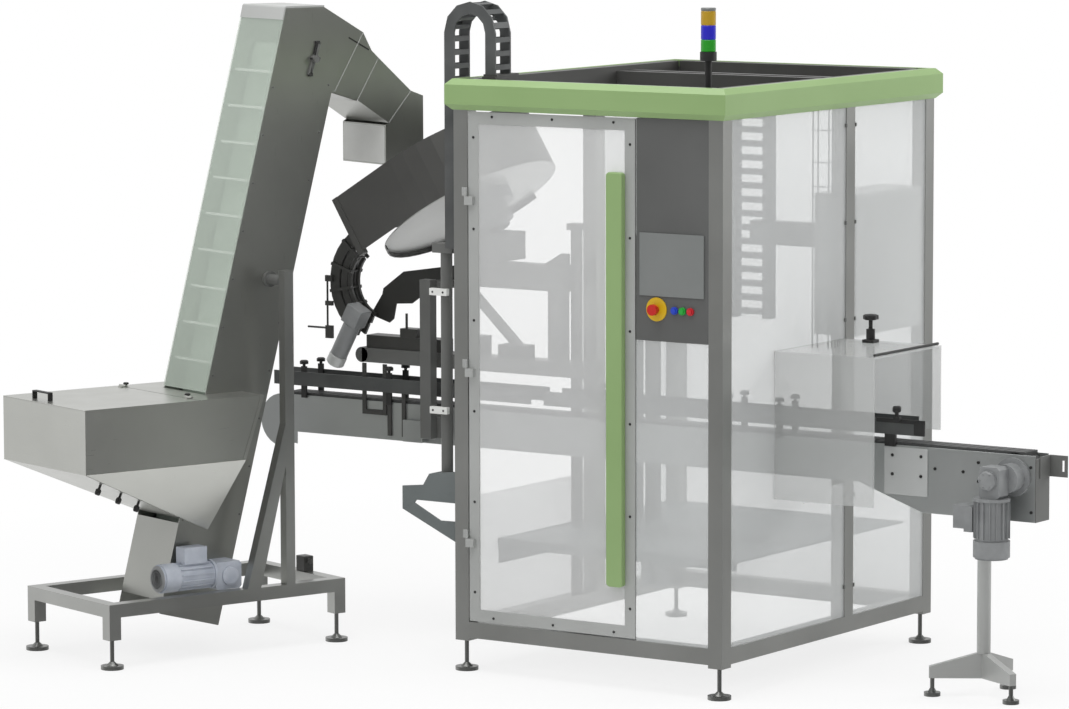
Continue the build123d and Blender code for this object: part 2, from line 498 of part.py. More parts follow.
chute_rails = []
for ya in (ch_y0, ch_y1 - 12):
    chute_rails.append(ring(CH_R1 - 34, CH_R1, 128, 244, ya, ya + 12))
    chute_rails.append(ring(CH_R0 + 22, CH_R0 + 54, 134, 246, ya, ya + 12))
    chute_rails.append(ring(CH_R0, CH_R0 + 14, 140, 250, ya, ya + 12))
spacers = []
for a in (136, 163, 190, 217, 240):
    ar = radians(a)
    mid_r = (CH_R0 + CH_R1) / 2
    blk = Pos(CH_X + mid_r * cos(ar), 0, CH_Z + mid_r * sin(ar)) * Rot(0, -a, 0) * Box(CH_R1 - CH_R0, 2 * 0 + 10, 24)
    for ya in (ch_y0 - 5, ch_y1 + 5):
        spacers.append(Pos(0, ya, 0) * blk)
keep("curved_chute", apart(chute_rails + spacers + [ring(CH_R0 + 54, CH_R0 + 58, 132, 246, ch_y0, ch_y1)]))

# Small geared motor beside the curved chute
gm_a, gm_b = (-1478, ch_y0 - 60, 1192), (-1560, ch_y0 - 60, 1062)
keep("track_drive", rod(gm_a, gm_b, 36), rod((-1560.3, ch_y0 - 60, 1061.5), (-1564, ch_y0 - 60, 1055.6), 30),
     chamfer(bx(-1500, -1404, ch_y0 - 96, ch_y0 - 20, 1202, 1262).edges().filter_by(Axis.Y), 12)
     + rod((-1440, ch_y0 - 20, 1222), (-1440, ch_y0 - 10, 1222), 26))
sy0, sy1 = ch_y0 - 22, ch_y0 - 10
stays = [bx(-1600, -1560, sy0, sy1, 1196, 1206) + rod((-1590, sy0 + 6, 1206), (-1590, sy0 + 6, 1400), 6),
         bx(-1600, -1540, sy0, sy1, 1400, 1412)]

# Track conveyor into the cabinet
ty0, ty1 = TRACK_Y - TRACK_W / 2, TRACK_Y + TRACK_W / 2
track = bx(TRACK_X0 + 28, TRACK_X1, ty0, ty1, TRACK_Z0, TRACK_Z1)
track += rod((TRACK_X0 + 28, ty0, (TRACK_Z0 + TRACK_Z1) / 2), (TRACK_X0 + 28, ty1, (TRACK_Z0 + TRACK_Z1) / 2), 34)
keep("track", track)
keep("track_blocks",
     bx(-1330, -1150, ty0 + 10, ty1 - 10, TRACK_Z1, TRACK_Z1 + 44),
     bx(-1290, -1200, ty0 - 14, ty0, TRACK_Z1 - 10, TRACK_Z1 + 70),
     rod((-1262, ty0 - 7, TRACK_Z1 + 70), (-1262, ty0 - 7, TRACK_Z1 + 128), 5))
hood_pts = [(-1376, 1331), (-1276, 1400), (-1196, 1415), (-1100, 1424), (-1100, 1372), (-1210, 1368), (-1240, 1276),
            (-1324, 1272), (-1356, 1290)]
keep("chute_stays", stays, slab_y(hood_pts, ch_y1 + 10, ch_y1 + 16))

# Columns that carry the bowl and the track
keep("bowl_frame",
     bx(-1102, -1046, -282, -240, 760, 1402), bx(-1040, -1000, -236, -204, 760, 1402), bx(-1060, -1000, 60, 120, 700, 1440),
     bx(-1000, -400, -60, 0, 1352, 1452), bx(-1000, -800, -80, 90, 1452, 1466))
keep("shaft_column", rod((-690, -650, 740), (-690, -650, 1545), 19), bx(-735, -645, -680, -620, 1545, 1580),
     [bx(-760, -655, -678, -669, z, z + 28) for z in (925, 1380)])
arm_pts = [(-897, 657), (-700, 650), (-HX, 600), (-HX, 415), (-897, 567)]
arm_hole = [(-830, 610), (-700, 590), (-640, 580), (-640, 520), (-700, 520), (-820, 585)]
arm_plate = slab_y(arm_pts, -700, -692) - slab_y(arm_hole, -702, -690)
keep("side_arm", arm_plate, slab_y([(-890, 650), (-700, 645), (-HX, 596), (-HX, 590), (-700, 640), (-890, 645)], -692, -600))

# Inside the cabinet: bed, placing head, uprights, electrical box and cable basket
bed_x = HX - TUBE
keep("machine_bed", bx(-bed_x, bed_x, -560, 640, 470, 476), bx(-bed_x, bed_x, -560, -556, 440, 470),
     bx(-bed_x, 4 - bed_x, -556, 640, 380, 470))
keep("head_uprights", bx(-420, -370, 150, 200, 476, 1560), bx(-330, -290, 150, 200, 476, 1420),
     bx(-470, -300, 140, 150, 1520, 1600), bx(-80, 210, 560, 620, 1560, 1680))
keep("electric_box", bx(390, 572, 200, 691, 1228, 1757))
wires = [bx(300 + 14 * i, 303 + 14 * i, 180, 183, 1190, 2086) for i in range(4)]
keep("cable_basket", wires)


# Cable carrier: links on a path, each with two side plates and two cross bars
def link(quad, y0, y1, bars=6.0, plate=8.0):
    """One link: quad is its side view in X and Z, corners 0-1 on one edge and 3-2 on the other."""
    a, b, c, d = (Vector(x, z, 0) for x, z in quad)

    def cut(s0, s1, t0, t1):
        pts = []
        for s, t in ((s0, t0), (s1, t0), (s1, t1), (s0, t1)):
            p, q = a + (b - a) * s, d + (c - d) * s
            v = p + (q - p) * t
            pts.append((v.X, v.Y))
        return pts

    body = slab_y(cut(0, 1, 0, 1), y0, y0 + plate) + slab_y(cut(0, 1, 0, 1), y1 - plate, y1)
    f = bars / 44.0
    return body + slab_y(cut(0.31, 0.69, 0, f), y0, y1) + slab_y(cut(0.31, 0.69, 1 - f, 1), y0, y1)


def run_of_links(x, z_from, count, y0, y1, thick, pitch):
    """Straight vertical run of links round the line at x, upwards from z_from."""
    t = thick / 2
    return [link([(x - t, z_from + pitch * k), (x - t, z_from + pitch * (k + 1)),
                  (x + t, z_from + pitch * (k + 1)), (x + t, z_from + pitch * k)], y0, y1) for k in range(count)]


CC_X, CC_R, CC_Z, CC_PITCH, CC_T = -546.0, 92.0, 2366.0, 50.0, 44.0
CC_Y0, CC_Y1 = -701.5, -598.5
links = run_of_links(CC_X - CC_R, CC_Z - 16 * CC_PITCH, 16, CC_Y0, CC_Y1, CC_T, CC_PITCH)
for i in range(6):
    quad = [(CC_X + r * cos(radians(a)), CC_Z + r * sin(radians(a))) for r, a in (
        (CC_R + CC_T / 2, 180 - 30 * i), (CC_R + CC_T / 2, 150 - 30 * i), (CC_R - CC_T / 2, 150 - 30 * i),
        (CC_R - CC_T / 2, 180 - 30 * i))]
    links.append(link(quad, CC_Y0, CC_Y1))
links += run_of_links(CC_X + CC_R, CC_Z - 3 * CC_PITCH, 3, CC_Y0, CC_Y1, CC_T, CC_PITCH)
keep("top_chain", links)
shelf_z = CC_Z - 3 * CC_PITCH
keep("top_beams", beams, bx(CC_X + CC_R - 30, CC_X + CC_R + 30, CC_Y0, -560, shelf_z - 8, shelf_z),
     bx(CC_X + CC_R - 30, CC_X + CC_R + 30, -711 + 0.8, CC_Y0 - 1, shelf_z - 40, shelf_z - 8))
keep("inner_chain", run_of_links(0, 1400, 13, -60, 60, CC_T, CC_PITCH), at=Location((330, -40, 0), (0, 0, 60)))

# Stack light near the front right corner
LAMP_X, LAMP_Y, LAMP_R = 452.0, -640.0, 27.0
keep("stack_light_base", rod((LAMP_X, LAMP_Y, 2176), (LAMP_X, LAMP_Y, 2184), 40)
     + rod((LAMP_X, LAMP_Y, 2184), (LAMP_X, LAMP_Y, 2290), 12) + rod((LAMP_X, LAMP_Y, 2290), (LAMP_X, LAMP_Y, 2322), 30),
     bx(LAMP_X - 50, LAMP_X + 50, -HY - BAND_OUT + BAND_T, LAMP_Y + 40, 2168, 2176))
keep("stack_light_lamps", [rod((LAMP_X, LAMP_Y, 2322 + i * 52), (LAMP_X, LAMP_Y, 2371 + i * 52), LAMP_R) for i in range(3)])

for name, solids in nodes.items():
    solids = [Pos(SHIFT_X, SHIFT_Y, 0) * s for s in solids]
    flat = []
    for s in solids:
        flat += s.solids()
    shape = flat[0] if len(flat) == 1 else Compound(children=flat)
    export_step(shape, f"parts/{name}.step")
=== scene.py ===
import bpy
import bmesh
import math
from mathutils import Vector, Matrix


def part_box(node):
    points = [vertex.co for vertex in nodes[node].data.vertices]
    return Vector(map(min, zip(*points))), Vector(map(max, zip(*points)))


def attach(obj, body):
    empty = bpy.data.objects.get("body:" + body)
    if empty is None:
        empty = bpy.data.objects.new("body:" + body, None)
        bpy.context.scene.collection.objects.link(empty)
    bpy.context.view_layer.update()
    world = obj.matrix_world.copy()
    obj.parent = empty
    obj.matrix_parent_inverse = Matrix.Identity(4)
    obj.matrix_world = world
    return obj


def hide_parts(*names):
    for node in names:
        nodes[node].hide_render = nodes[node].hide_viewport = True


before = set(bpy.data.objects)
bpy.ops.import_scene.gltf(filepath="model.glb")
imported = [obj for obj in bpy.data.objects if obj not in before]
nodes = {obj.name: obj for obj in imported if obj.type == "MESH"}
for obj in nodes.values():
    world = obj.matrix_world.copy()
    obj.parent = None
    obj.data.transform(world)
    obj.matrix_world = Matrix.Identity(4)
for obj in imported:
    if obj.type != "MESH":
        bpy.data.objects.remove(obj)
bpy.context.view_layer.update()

# %% [markdown]
# # A packaging line in a guarded cabinet
# The line has three parts that stand beside each other: a belt elevator with a hopper, a tilted
# sorting bowl with a curved chute, and a cabinet with clear walls through which a conveyor runs.
# The solids come from the CAD model and stay where they are. This lesson gives them their
# finishes, adds the small pieces that the CAD leaves out, and lights the scene.

# %% Keep the size of the CAD model
origin_x, origin_y = 0.2964, 0.3808      # the middle of the cabinet, in the row frame
print(len(nodes), "CAD nodes")


# %% [markdown]
# ## Colours
# A shader works with linear light, but a colour given here is a screen colour. One helper turns
# the second into the first, so that each finish below can be written as it looks.

# %% Screen colour to linear light
def seen(r, g, b):
    def one(c):
        c = c / 255.0
        return c / 12.92 if c <= 0.04045 else ((c + 0.055) / 1.055) ** 2.4
    return (one(r), one(g), one(b), 1.0)


print("band green in linear light", [round(v, 3) for v in seen(150, 184, 122)])


# %% [markdown]
# ## Finishes
# Most of this machine is sheet steel and square tube with a fine satin paint. Such paint is never
# one flat colour: it has a faint cloudiness, a fine orange-peel bump and a gloss that changes a
# little. A noise texture drives all three. The scale is in metres, because the nodes sit in object
# space and the model is drawn in metres.

# %% Satin paint
def satin_paint(name, dark, light, rough=0.42, cloud=2.4, peel=420.0, metal=0.0):
    mat = bpy.data.materials.new(name)
    mat.use_nodes = True
    tree = mat.node_tree
    bsdf = tree.nodes["Principled BSDF"]
    where = tree.nodes.new("ShaderNodeTexCoord")
    cloudy = tree.nodes.new("ShaderNodeTexNoise")
    cloudy.inputs["Scale"].default_value = cloud
    cloudy.inputs["Detail"].default_value = 4.0
    ramp = tree.nodes.new("ShaderNodeValToRGB")
    ramp.color_ramp.elements[0].position = 0.3
    ramp.color_ramp.elements[0].color = dark
    ramp.color_ramp.elements[1].position = 0.72
    ramp.color_ramp.elements[1].color = light
    gloss = tree.nodes.new("ShaderNodeMapRange")
    gloss.inputs["To Min"].default_value = rough - 0.05
    gloss.inputs["To Max"].default_value = rough + 0.07
    fine = tree.nodes.new("ShaderNodeTexNoise")
    fine.inputs["Scale"].default_value = peel
    bump = tree.nodes.new("ShaderNodeBump")
    bump.inputs["Strength"].default_value = 0.05
    bump.inputs["Distance"].default_value = 0.0005
    link = tree.links.new
    link(where.outputs["Object"], cloudy.inputs["Vector"])
    link(where.outputs["Object"], fine.inputs["Vector"])
    link(cloudy.outputs["Fac"], ramp.inputs["Fac"])
    link(ramp.outputs["Color"], bsdf.inputs["Base Color"])
    link(cloudy.outputs["Fac"], gloss.inputs["Value"])
    link(gloss.outputs["Result"], bsdf.inputs["Roughness"])
    link(fine.outputs["Fac"], bump.inputs["Height"])
    link(bump.outputs["Normal"], bsdf.inputs["Normal"])
    bsdf.inputs["Metallic"].default_value = metal
    return mat


frame_paint = satin_paint("frame_paint", seen(164, 165, 162), seen(178, 179, 176), 0.3, metal=0.85)
column_paint = satin_paint("column_paint", seen(88, 89, 88), seen(98, 99, 98), 0.5)
dark_paint = satin_paint("dark_paint", seen(60, 60, 58), seen(74, 74, 72), 0.38)
post_paint = satin_paint("post_paint", seen(96, 97, 95), seen(110, 111, 109), 0.4)
arm_paint = satin_paint("arm_paint", seen(104, 110, 110), seen(118, 124, 124), 0.4)
green_paint = satin_paint("green_paint", seen(138, 167, 110), seen(148, 177, 120), 0.36, 1.6)
strip_paint = satin_paint("strip_paint", seen(172, 174, 172), seen(186, 188, 186), 0.34, metal=0.2)
foot_steel = satin_paint("foot_steel", seen(120, 121, 119), seen(136, 137, 135), 0.32, metal=0.85)
print("satin paints", frame_paint.name, dark_paint.name, green_paint.name)


# %% [markdown]
# ## Brushed steel
# The elevator casing, the hopper and the chute are brushed stainless sheet. The brush leaves long
# fine scratches in one direction. A noise texture squeezed across the brush and stretched along it
# gives them; it moves the roughness and the bump more than the colour.

# %% Brushed sheet
def brushed_sheet(name, dark, light, along=(1.0, 1.0, 60.0), rough=0.34, metal=0.65, scratch=0.05):
    mat = satin_paint(name, dark, light, rough, 1.4, 300.0, metal)
    tree = mat.node_tree
    where = next(n for n in tree.nodes if n.type == "TEX_COORD")
    squeeze = tree.nodes.new("ShaderNodeMapping")
    squeeze.inputs["Scale"].default_value = along
    lines = tree.nodes.new("ShaderNodeTexNoise")
    lines.inputs["Scale"].default_value = 9.0
    lines.inputs["Detail"].default_value = 6.0
    gloss = tree.nodes.new("ShaderNodeMapRange")
    gloss.inputs["To Min"].default_value = rough - 0.08
    gloss.inputs["To Max"].default_value = rough + 0.12
    bump = next(n for n in tree.nodes if n.type == "BUMP")
    bump.inputs["Strength"].default_value = scratch
    link = tree.links.new
    link(where.outputs["Object"], squeeze.inputs["Vector"])
    link(squeeze.outputs["Vector"], lines.inputs["Vector"])
    link(lines.outputs["Fac"], gloss.inputs["Value"])
    link(lines.outputs["Fac"], bump.inputs["Height"])
    link(gloss.outputs["Result"], tree.nodes["Principled BSDF"].inputs["Roughness"])
    return mat


brush_up, brush_along = (60.0, 60.0, 1.0), (1.0, 60.0, 60.0)
bowl_brush, pan_brush = (40.0, 40.0, 1.0), (30.0, 30.0, 1.0)
casing_steel = brushed_sheet("casing_steel", seen(158, 159, 155), seen(178, 179, 174), brush_up, 0.3, 0.9)
hopper_steel = brushed_sheet("hopper_steel", seen(182, 183, 178), seen(198, 199, 194), rough=0.3, metal=0.9)
bare_steel = brushed_sheet("bare_steel", seen(166, 168, 168), seen(184, 186, 186), brush_along, 0.3)
plate_steel = brushed_sheet("plate_steel", seen(176, 179, 178), seen(194, 197, 196), brush_along, 0.32, 0.8)
pale_plate = brushed_sheet("pale_plate", seen(188, 190, 189), seen(204, 206, 205), brush_along, 0.4, 0.3)
bowl_steel = brushed_sheet("bowl_steel", seen(88, 88, 86), seen(106, 106, 104), bowl_brush, 0.42, 0.5)
pan_steel = brushed_sheet("pan_steel", seen(176, 177, 175), seen(196, 198, 196), pan_brush, 0.34, 0.4)
print("brushed sheets made")


# %% [markdown]
# ## Cast and moulded pieces
# The geared motors are cast aluminium with a pale blue-grey lacquer, and knobs, rails and links are
# dark plastic with a coarser grain. Both are the same recipe with other numbers.

# %% Lacquered castings and dark plastic
motor_lacquer = satin_paint("motor_lacquer", seen(168, 174, 186), seen(196, 201, 210), 0.4, 14.0, 260.0)
grey_lacquer = satin_paint("grey_lacquer", seen(128, 130, 131), seen(148, 150, 151), 0.4, 14.0, 260.0)
black_plastic = satin_paint("black_plastic", seen(36, 36, 36), seen(48, 48, 47), 0.5, 9.0, 600.0)
rail_plastic = satin_paint("rail_plastic", seen(70, 72, 72), seen(84, 86, 85), 0.45, 9.0, 500.0)
link_plastic = satin_paint("link_plastic", seen(72, 74, 74), seen(90, 92, 92), 0.46, 9.0, 500.0)
belt_rubber = satin_paint("belt_rubber", seen(160, 172, 160), seen(180, 190, 180), 0.5, 6.0, 500.0)
slat_plastic = satin_paint("slat_plastic", seen(62, 63, 63), seen(78, 79, 79), 0.5, 20.0, 500.0)
white_plastic = satin_paint("white_plastic", seen(224, 225, 222), seen(236, 237, 234), 0.45, 9.0, 500.0)
print("castings and plastics made")


# %% [markdown]
# ## Clear walls
# The walls are polycarbonate sheet. Looked at square on, a clean sheet shows what is behind it with
# a light grey veil. A principled shader with an alpha of about a third gives that veil in one node,
# and it survives export. The veil is a touch cloudy, so the base colour comes from a soft noise.

# %% Clear sheet
def clear_sheet(name, tint, veil, rough=0.12):
    mat = satin_paint(name, tint, tuple(min(1.0, c * 1.06) for c in tint[:3]) + (1.0,), rough, 1.2, 200.0)
    bsdf = mat.node_tree.nodes["Principled BSDF"]
    bsdf.inputs["Alpha"].default_value = veil
    next(n for n in mat.node_tree.nodes if n.type == "BUMP").inputs["Strength"].default_value = 0.01
    return mat


door_clear = clear_sheet("door_clear", seen(246, 247, 247), 0.34)
wall_clear = clear_sheet("wall_clear", seen(238, 240, 240), 0.34)
guard_clear = clear_sheet("guard_clear", seen(206, 208, 207), 0.4)
cover_clear = clear_sheet("cover_clear", seen(222, 234, 222), 0.34, 0.1)
print("clear sheets made")


# %% [markdown]
# ## Two colours on one solid
# The stop button is a red mushroom on a yellow plate, the push buttons are blue, green and red, and
# the signal lamp has three lenses. Each is one CAD node. A position test in object space picks
# the colour: a coordinate is compared with a limit, and the answer mixes two colours.

# %% Colour by position
def banded(name, axis, limits, colours, rough=0.3):
    mat = bpy.data.materials.new(name)
    mat.use_nodes = True
    tree = mat.node_tree
    link = tree.links.new
    bsdf = tree.nodes["Principled BSDF"]
    where = tree.nodes.new("ShaderNodeTexCoord")
    split = tree.nodes.new("ShaderNodeSeparateXYZ")
    cloudy = tree.nodes.new("ShaderNodeTexNoise")
    cloudy.inputs["Scale"].default_value = 40.0
    gloss = tree.nodes.new("ShaderNodeMapRange")
    gloss.inputs["To Min"].default_value = rough - 0.05
    gloss.inputs["To Max"].default_value = rough + 0.08
    link(where.outputs["Object"], split.inputs["Vector"])
    link(where.outputs["Object"], cloudy.inputs["Vector"])
    link(cloudy.outputs["Fac"], gloss.inputs["Value"])
    link(gloss.outputs["Result"], bsdf.inputs["Roughness"])
    before = None
    for limit, colour in zip([None] + list(limits), colours):
        if before is None:
            first = tree.nodes.new("ShaderNodeRGB")
            first.outputs[0].default_value = colour
            before = first.outputs[0]
            continue
        test = tree.nodes.new("ShaderNodeMath")
        test.operation = "GREATER_THAN"
        test.inputs[1].default_value = limit
        mix = tree.nodes.new("ShaderNodeMix")
        mix.data_type = "RGBA"
        mix.inputs["B"].default_value = colour
        link(split.outputs[axis], test.inputs[0])
        link(test.outputs[0], mix.inputs["Factor"])
        link(before, mix.inputs["A"])
        before = mix.outputs["Result"]
    link(before, bsdf.inputs["Base Color"])
    return mat


face_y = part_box("screen")[0][1]
stop_colours = banded("stop_colours", 1, [face_y - 0.001], [seen(196, 34, 28), seen(214, 176, 30)])
button_x = [origin_x + 0.399, origin_x + 0.433]
button_shades = [seen(40, 70, 190), seen(40, 165, 60), seen(200, 40, 50)]
button_colours = banded("button_colours", 0, button_x, button_shades)
lamp_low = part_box("stack_light_lamps")[0][2]
lamp_z = [lamp_low + 0.044, lamp_low + 0.095, lamp_low + 0.146]
lamp_shades = [seen(41, 151, 38), seen(42, 40, 188), seen(182, 145, 36), seen(120, 122, 121)]
lamp_colours = banded("lamp_colours", 2, lamp_z, lamp_shades, 0.2)
print("banded finishes made")

# %% [markdown]
# ## Dress the CAD nodes
# One table says which finish each node gets, so a change is made in one place. A node that the table
# leaves out stops the script.

# %% Finish of each node
finish_of = {
    "cabinet_frame": frame_paint, "top_beams": dark_paint, "elevator_frame": frame_paint,
    "top_band": green_paint, "door_handle": green_paint,
    "door_frame": strip_paint, "door_hinges": post_paint, "door_glass": door_clear,
    "clear_panels": wall_clear, "exit_guard": guard_clear, "elevator_cover": cover_clear,
    "control_column": column_paint, "screen": None, "stop_button": stop_colours,
    "push_buttons": button_colours, "panel_clamps": post_paint, "guard_knob": black_plastic,
    "conveyor_plates": plate_steel, "conveyor_belt": slat_plastic, "outfeed_drive": grey_lacquer,
    "outfeed_stand": pan_steel, "levelling_feet": foot_steel, "guide_rails": rail_plastic,
    "rail_posts": black_plastic, "elevator_casing": casing_steel, "elevator_head_cap": pan_steel,
    "discharge_chute": casing_steel, "elevator_belt": belt_rubber, "casing_fittings": post_paint,
    "hopper": hopper_steel, "hopper_lid": hopper_steel, "lid_handle": black_plastic,
    "elevator_drive": motor_lacquer, "switch_box": dark_paint, "bowl_collar": bowl_steel,
    "bowl_pan": pan_steel, "bowl_motor": grey_lacquer, "curved_chute": dark_paint,
    "track_drive": grey_lacquer, "chute_stays": dark_paint, "track": dark_paint,
    "track_blocks": dark_paint, "bowl_frame": post_paint, "shaft_column": post_paint,
    "side_arm": arm_paint, "machine_bed": arm_paint, "head_uprights": post_paint,
    "electric_box": strip_paint, "cable_basket": post_paint, "top_chain": link_plastic,
    "inner_chain": link_plastic, "stack_light_base": black_plastic, "stack_light_lamps": lamp_colours,
}
screen_glass = satin_paint("screen_glass", seen(122, 125, 124), seen(130, 133, 132), 0.2, 3.0, 900.0)
finish_of["screen"] = screen_glass
for name, node in nodes.items():
    node.data.materials.clear()
    node.data.materials.append(finish_of[name])
print("dressed", len(nodes), "nodes")

# %% [markdown]
# ## Building pieces from stacked rings
# Sheets, tubes and knobs can all be described as rings of points stacked on each other, with a cap at
# both ends: two rings make a plate or a tube, more rings make a turned knob. One helper turns such
# stacks into a mesh, and a small bevel gives each edge the highlight that a real edge has. Sizes are
# in millimetres from the middle of the cabinet, as on a workshop drawing; a frame of reference
# (cabinet, elevator or bowl) puts them in place.

# %% Frames of reference
CABINET = Matrix.Translation((origin_x, origin_y, 0.0))
elevator_at, elevator_turn = (-1.749, -0.880, 0.0), -18.9
bowl_at, bowl_tilt = (-1.060, 0.020, 1.663), -31.5
ELEVATOR = CABINET @ Matrix.Translation(elevator_at) @ Matrix.Rotation(math.radians(elevator_turn), 4, "Z")
BOWL = CABINET @ Matrix.Translation(bowl_at) @ Matrix.Rotation(math.radians(bowl_tilt), 4, "Y")
print("frames at", CABINET.translation, ELEVATOR.translation, BOWL.translation)


# %% Stacks of rings
def plate(points, across, low, high):
    """Outline in the other two axes, pushed along the axis named by across."""
    def put(a, b, c):
        return {"x": (c, a, b), "y": (a, c, b), "z": (a, b, c)}[across]
    return [[Vector(put(a, b, low)) for a, b in points], [Vector(put(a, b, high)) for a, b in points]]


def block(x0, x1, y0, y1, z0, z1):
    """Flat bar or sheet square to the axes; pieces are built from several."""
    return plate([(x0, y0), (x1, y0), (x1, y1), (x0, y1)], "z", z0, z1)


def turned(profile, place, toward, steps=28):
    """Profile as pairs of height and radius, turned about the line from place toward."""
    ahead = Vector(toward).normalized()
    side = ahead.orthogonal().normalized()
    other = ahead.cross(side)
    rings = []
    for height, radius in profile:
        ring = []
        for i in range(steps):
            a = 2 * math.pi * i / steps
            out = side * math.cos(a) + other * math.sin(a)
            ring.append(Vector(place) + ahead * height + out * radius)
        rings.append(ring)
    return rings


def rod(p, q, radius, steps=24):
    """Round bar from one point to another."""
    length = (Vector(q) - Vector(p)).length
    return turned([(0, radius), (length, radius)], p, Vector(q) - Vector(p), steps)


def bar(p, q, wide, tall, up=(0, 1, 0)):
    """Straight bar of rectangular section, tall measured towards up."""
    ahead = (Vector(q) - Vector(p)).normalized()
    side = Vector(up).cross(ahead).normalized() * wide / 2
    top = ahead.cross(side).normalized() * tall / 2
    corners = ((1, 1), (-1, 1), (-1, -1), (1, -1))
    return [[Vector(end) + side * a + top * b for a, b in corners] for end in (p, q)]


def screw(place, toward, radius=5.0, high=3.0):
    """Button head with a socket, so it catches light as a real one does."""
    return turned([(-1.0, radius), (high * 0.5, radius), (high, radius * 0.72), (high, radius * 0.42),
                   (high * 0.4, radius * 0.36)], place, toward, 16)


def knob(place, toward, radius, high):
    """Stem, flange and crowned grip."""
    return turned([(0, radius * 0.45), (high * 0.4, radius * 0.45), (high * 0.45, radius * 0.8),
                   (high * 0.55, radius), (high * 0.85, radius), (high, radius * 0.75)], place, toward)


def rounded(a0, a1, b0, b1, radius, steps=6):
    """Outline of a rectangle whose corners are arcs."""
    points = []
    for ca, cb, start in ((a1, b1, 0), (a0, b1, 90), (a0, b0, 180), (a1, b0, 270)):
        ma = ca - radius if ca == a1 else ca + radius
        mb = cb - radius if cb == b1 else cb + radius
        for i in range(steps + 1):
            t = math.radians(start + 90 * i / steps)
            points.append((ma + radius * math.cos(t), mb + radius * math.sin(t)))
    return points


def piece(name, stacks, finish, frame_at=CABINET, body="plant", bevel=0.8, instead_of=()):
    """One object from stacks of rings; it rides on a body and may stand for CAD nodes."""
    work = bmesh.new()
    for rings in stacks:
        loops = [[work.verts.new(frame_at @ (p * 0.001)) for p in ring] for ring in rings]
        for low, high in zip(loops, loops[1:]):
            for i in range(len(low)):
                j = (i + 1) % len(low)
                work.faces.new((low[i], low[j], high[j], high[i]))
        work.faces.new(list(reversed(loops[0])))
        work.faces.new(loops[-1])
    bmesh.ops.recalc_face_normals(work, faces=work.faces)
    mesh = bpy.data.meshes.new(name)
    work.to_mesh(mesh)
    work.free()
    mesh.polygons.foreach_set("use_smooth", [True] * len(mesh.polygons))
    mesh.set_sharp_from_angle(angle=math.radians(32))
    mesh.materials.append(finish)
    obj = bpy.data.objects.new(name, mesh)
    bpy.context.scene.collection.objects.link(obj)
    if bevel:
        edge = obj.modifiers.new("soft edges", "BEVEL")
        edge.width = bevel * 0.001
        edge.segments = 2
        edge.limit_method = "ANGLE"
        edge.angle_limit = math.radians(40)
    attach(obj, body)
    if instead_of:
        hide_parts(*instead_of)
    print(name, len(mesh.polygons), "faces")
    return obj


# %% [markdown]
# ## Conveyor
# The side plates are bent sheet: shallow along the cabinet and deeper at the outgoing end, with a
# slanted lower edge between. A pale cover plate with four bolts closes the drive side, and a slotted
# bracket stands at the end. Each is an outline pushed to its thickness.

# %% Conveyor plates
near, far, sheet = -186.0, -86.0, 3.0
side_outline = [(-1812, 748), (814, 748), (1081, 655), (1542, 655), (1542, 895), (-1812, 895)]
round_end = [(-1812 + 105 * math.cos(math.radians(a)), 790 + 105 * math.sin(math.radians(a)))
             for a in range(90, 271, 12)]
sides = [plate(side_outline, "y", y, y + sheet) for y in (near, far - sheet)]
sides += [plate(round_end, "y", y, y + sheet) for y in (near, far - sheet)]
sides += [block(-1205, -1113, near - 34, near, 752, 836), block(1224, 1248, near, near + 24, 640, 655)]
piece("conveyor_sides", sides, plate_steel, instead_of=("conveyor_plates",))
tail = [block(1542, 1546, near, far, 655, 884), block(1546, 1550, near + 24, far + 4, 812, 890)]
tail += [block(1550, 1596, far, far + 4, 812, 890), block(1605, 1618, far, far + 4, 812, 890),
         block(1596, 1605, far, far + 4, 812, 832), block(1596, 1605, far, far + 4, 872, 890)]
piece("conveyor_tail", tail, post_paint)
cover_outline = rounded(924, 1104, 714, 888, 6)
piece("drive_cover_plate", [plate(cover_outline, "y", near - 4, near)], pale_plate)
bolts = [(958, 857), (1077, 859), (958, 788), (1077, 787), (1133, 819), (1249, 817), (1311, 855),
         (1312, 787), (1524, 853), (1527, 691)]
piece("conveyor_bolts", [screw((x, near - (4 if x < 1100 else 0), z), (0, -1, 0), 6, 4) for x, z in bolts],
      black_plastic, bevel=0)
belt = [block(-1790, 1500, near + 5, far - 5, 889, 905), block(-1700, 800, near + 3, far - 3, 764, 776)]
drums = ((-1738, 833, 60), (1454, 814, 88))
belt += [rod((x, near + 5, z), (x, far - 5, z), r, 40) for x, z, r in drums]
piece("slat_belt", belt, slat_plastic, instead_of=("conveyor_belt",))
slat_pitch = 38
joints = [block(x, x + 3, near + 8, far - 8, 904.6, 905.6) for x in range(-1780, 1490, slat_pitch)]
piece("slat_joints", joints, black_plastic, bevel=0)

# %% Rail brackets and trim
brackets = []
grip = [(0, 6), (8, 6), (9, 17), (20, 17), (24, 12)]
for x in (-1700, -1290, -300, 260, 480):
    for y, out in ((near, -1), (far, 1)):
        brackets.append(block(x - 12, x + 12, min(y, y + out * 10), max(y, y + out * 10), 886, 1010))
        brackets.append(turned(grip, (x, y + out * 5, 1010), (0, 0, 1)))
piece("rail_brackets", brackets, black_plastic, instead_of=("rail_posts",))
piece("rail_flange", [block(896, 1096, near - 16, near - 10, 976, 991),
                      block(1054, 1096, near - 18, near - 8, 936, 991),
                      block(930, 972, near - 14, near + 3, 890, 945)], black_plastic)
holder = [block(x, x + 17, near - 8, near, 843, 1042) for x in (-1417, -1319)]
holder += [block(-1400, -1319, near - 8, near, 843, 862)]
holder += [block(x, x + 17, near - 8, near, 765, 975) for x in (-1297, -1229)]
piece("infeed_holders", holder, dark_paint)
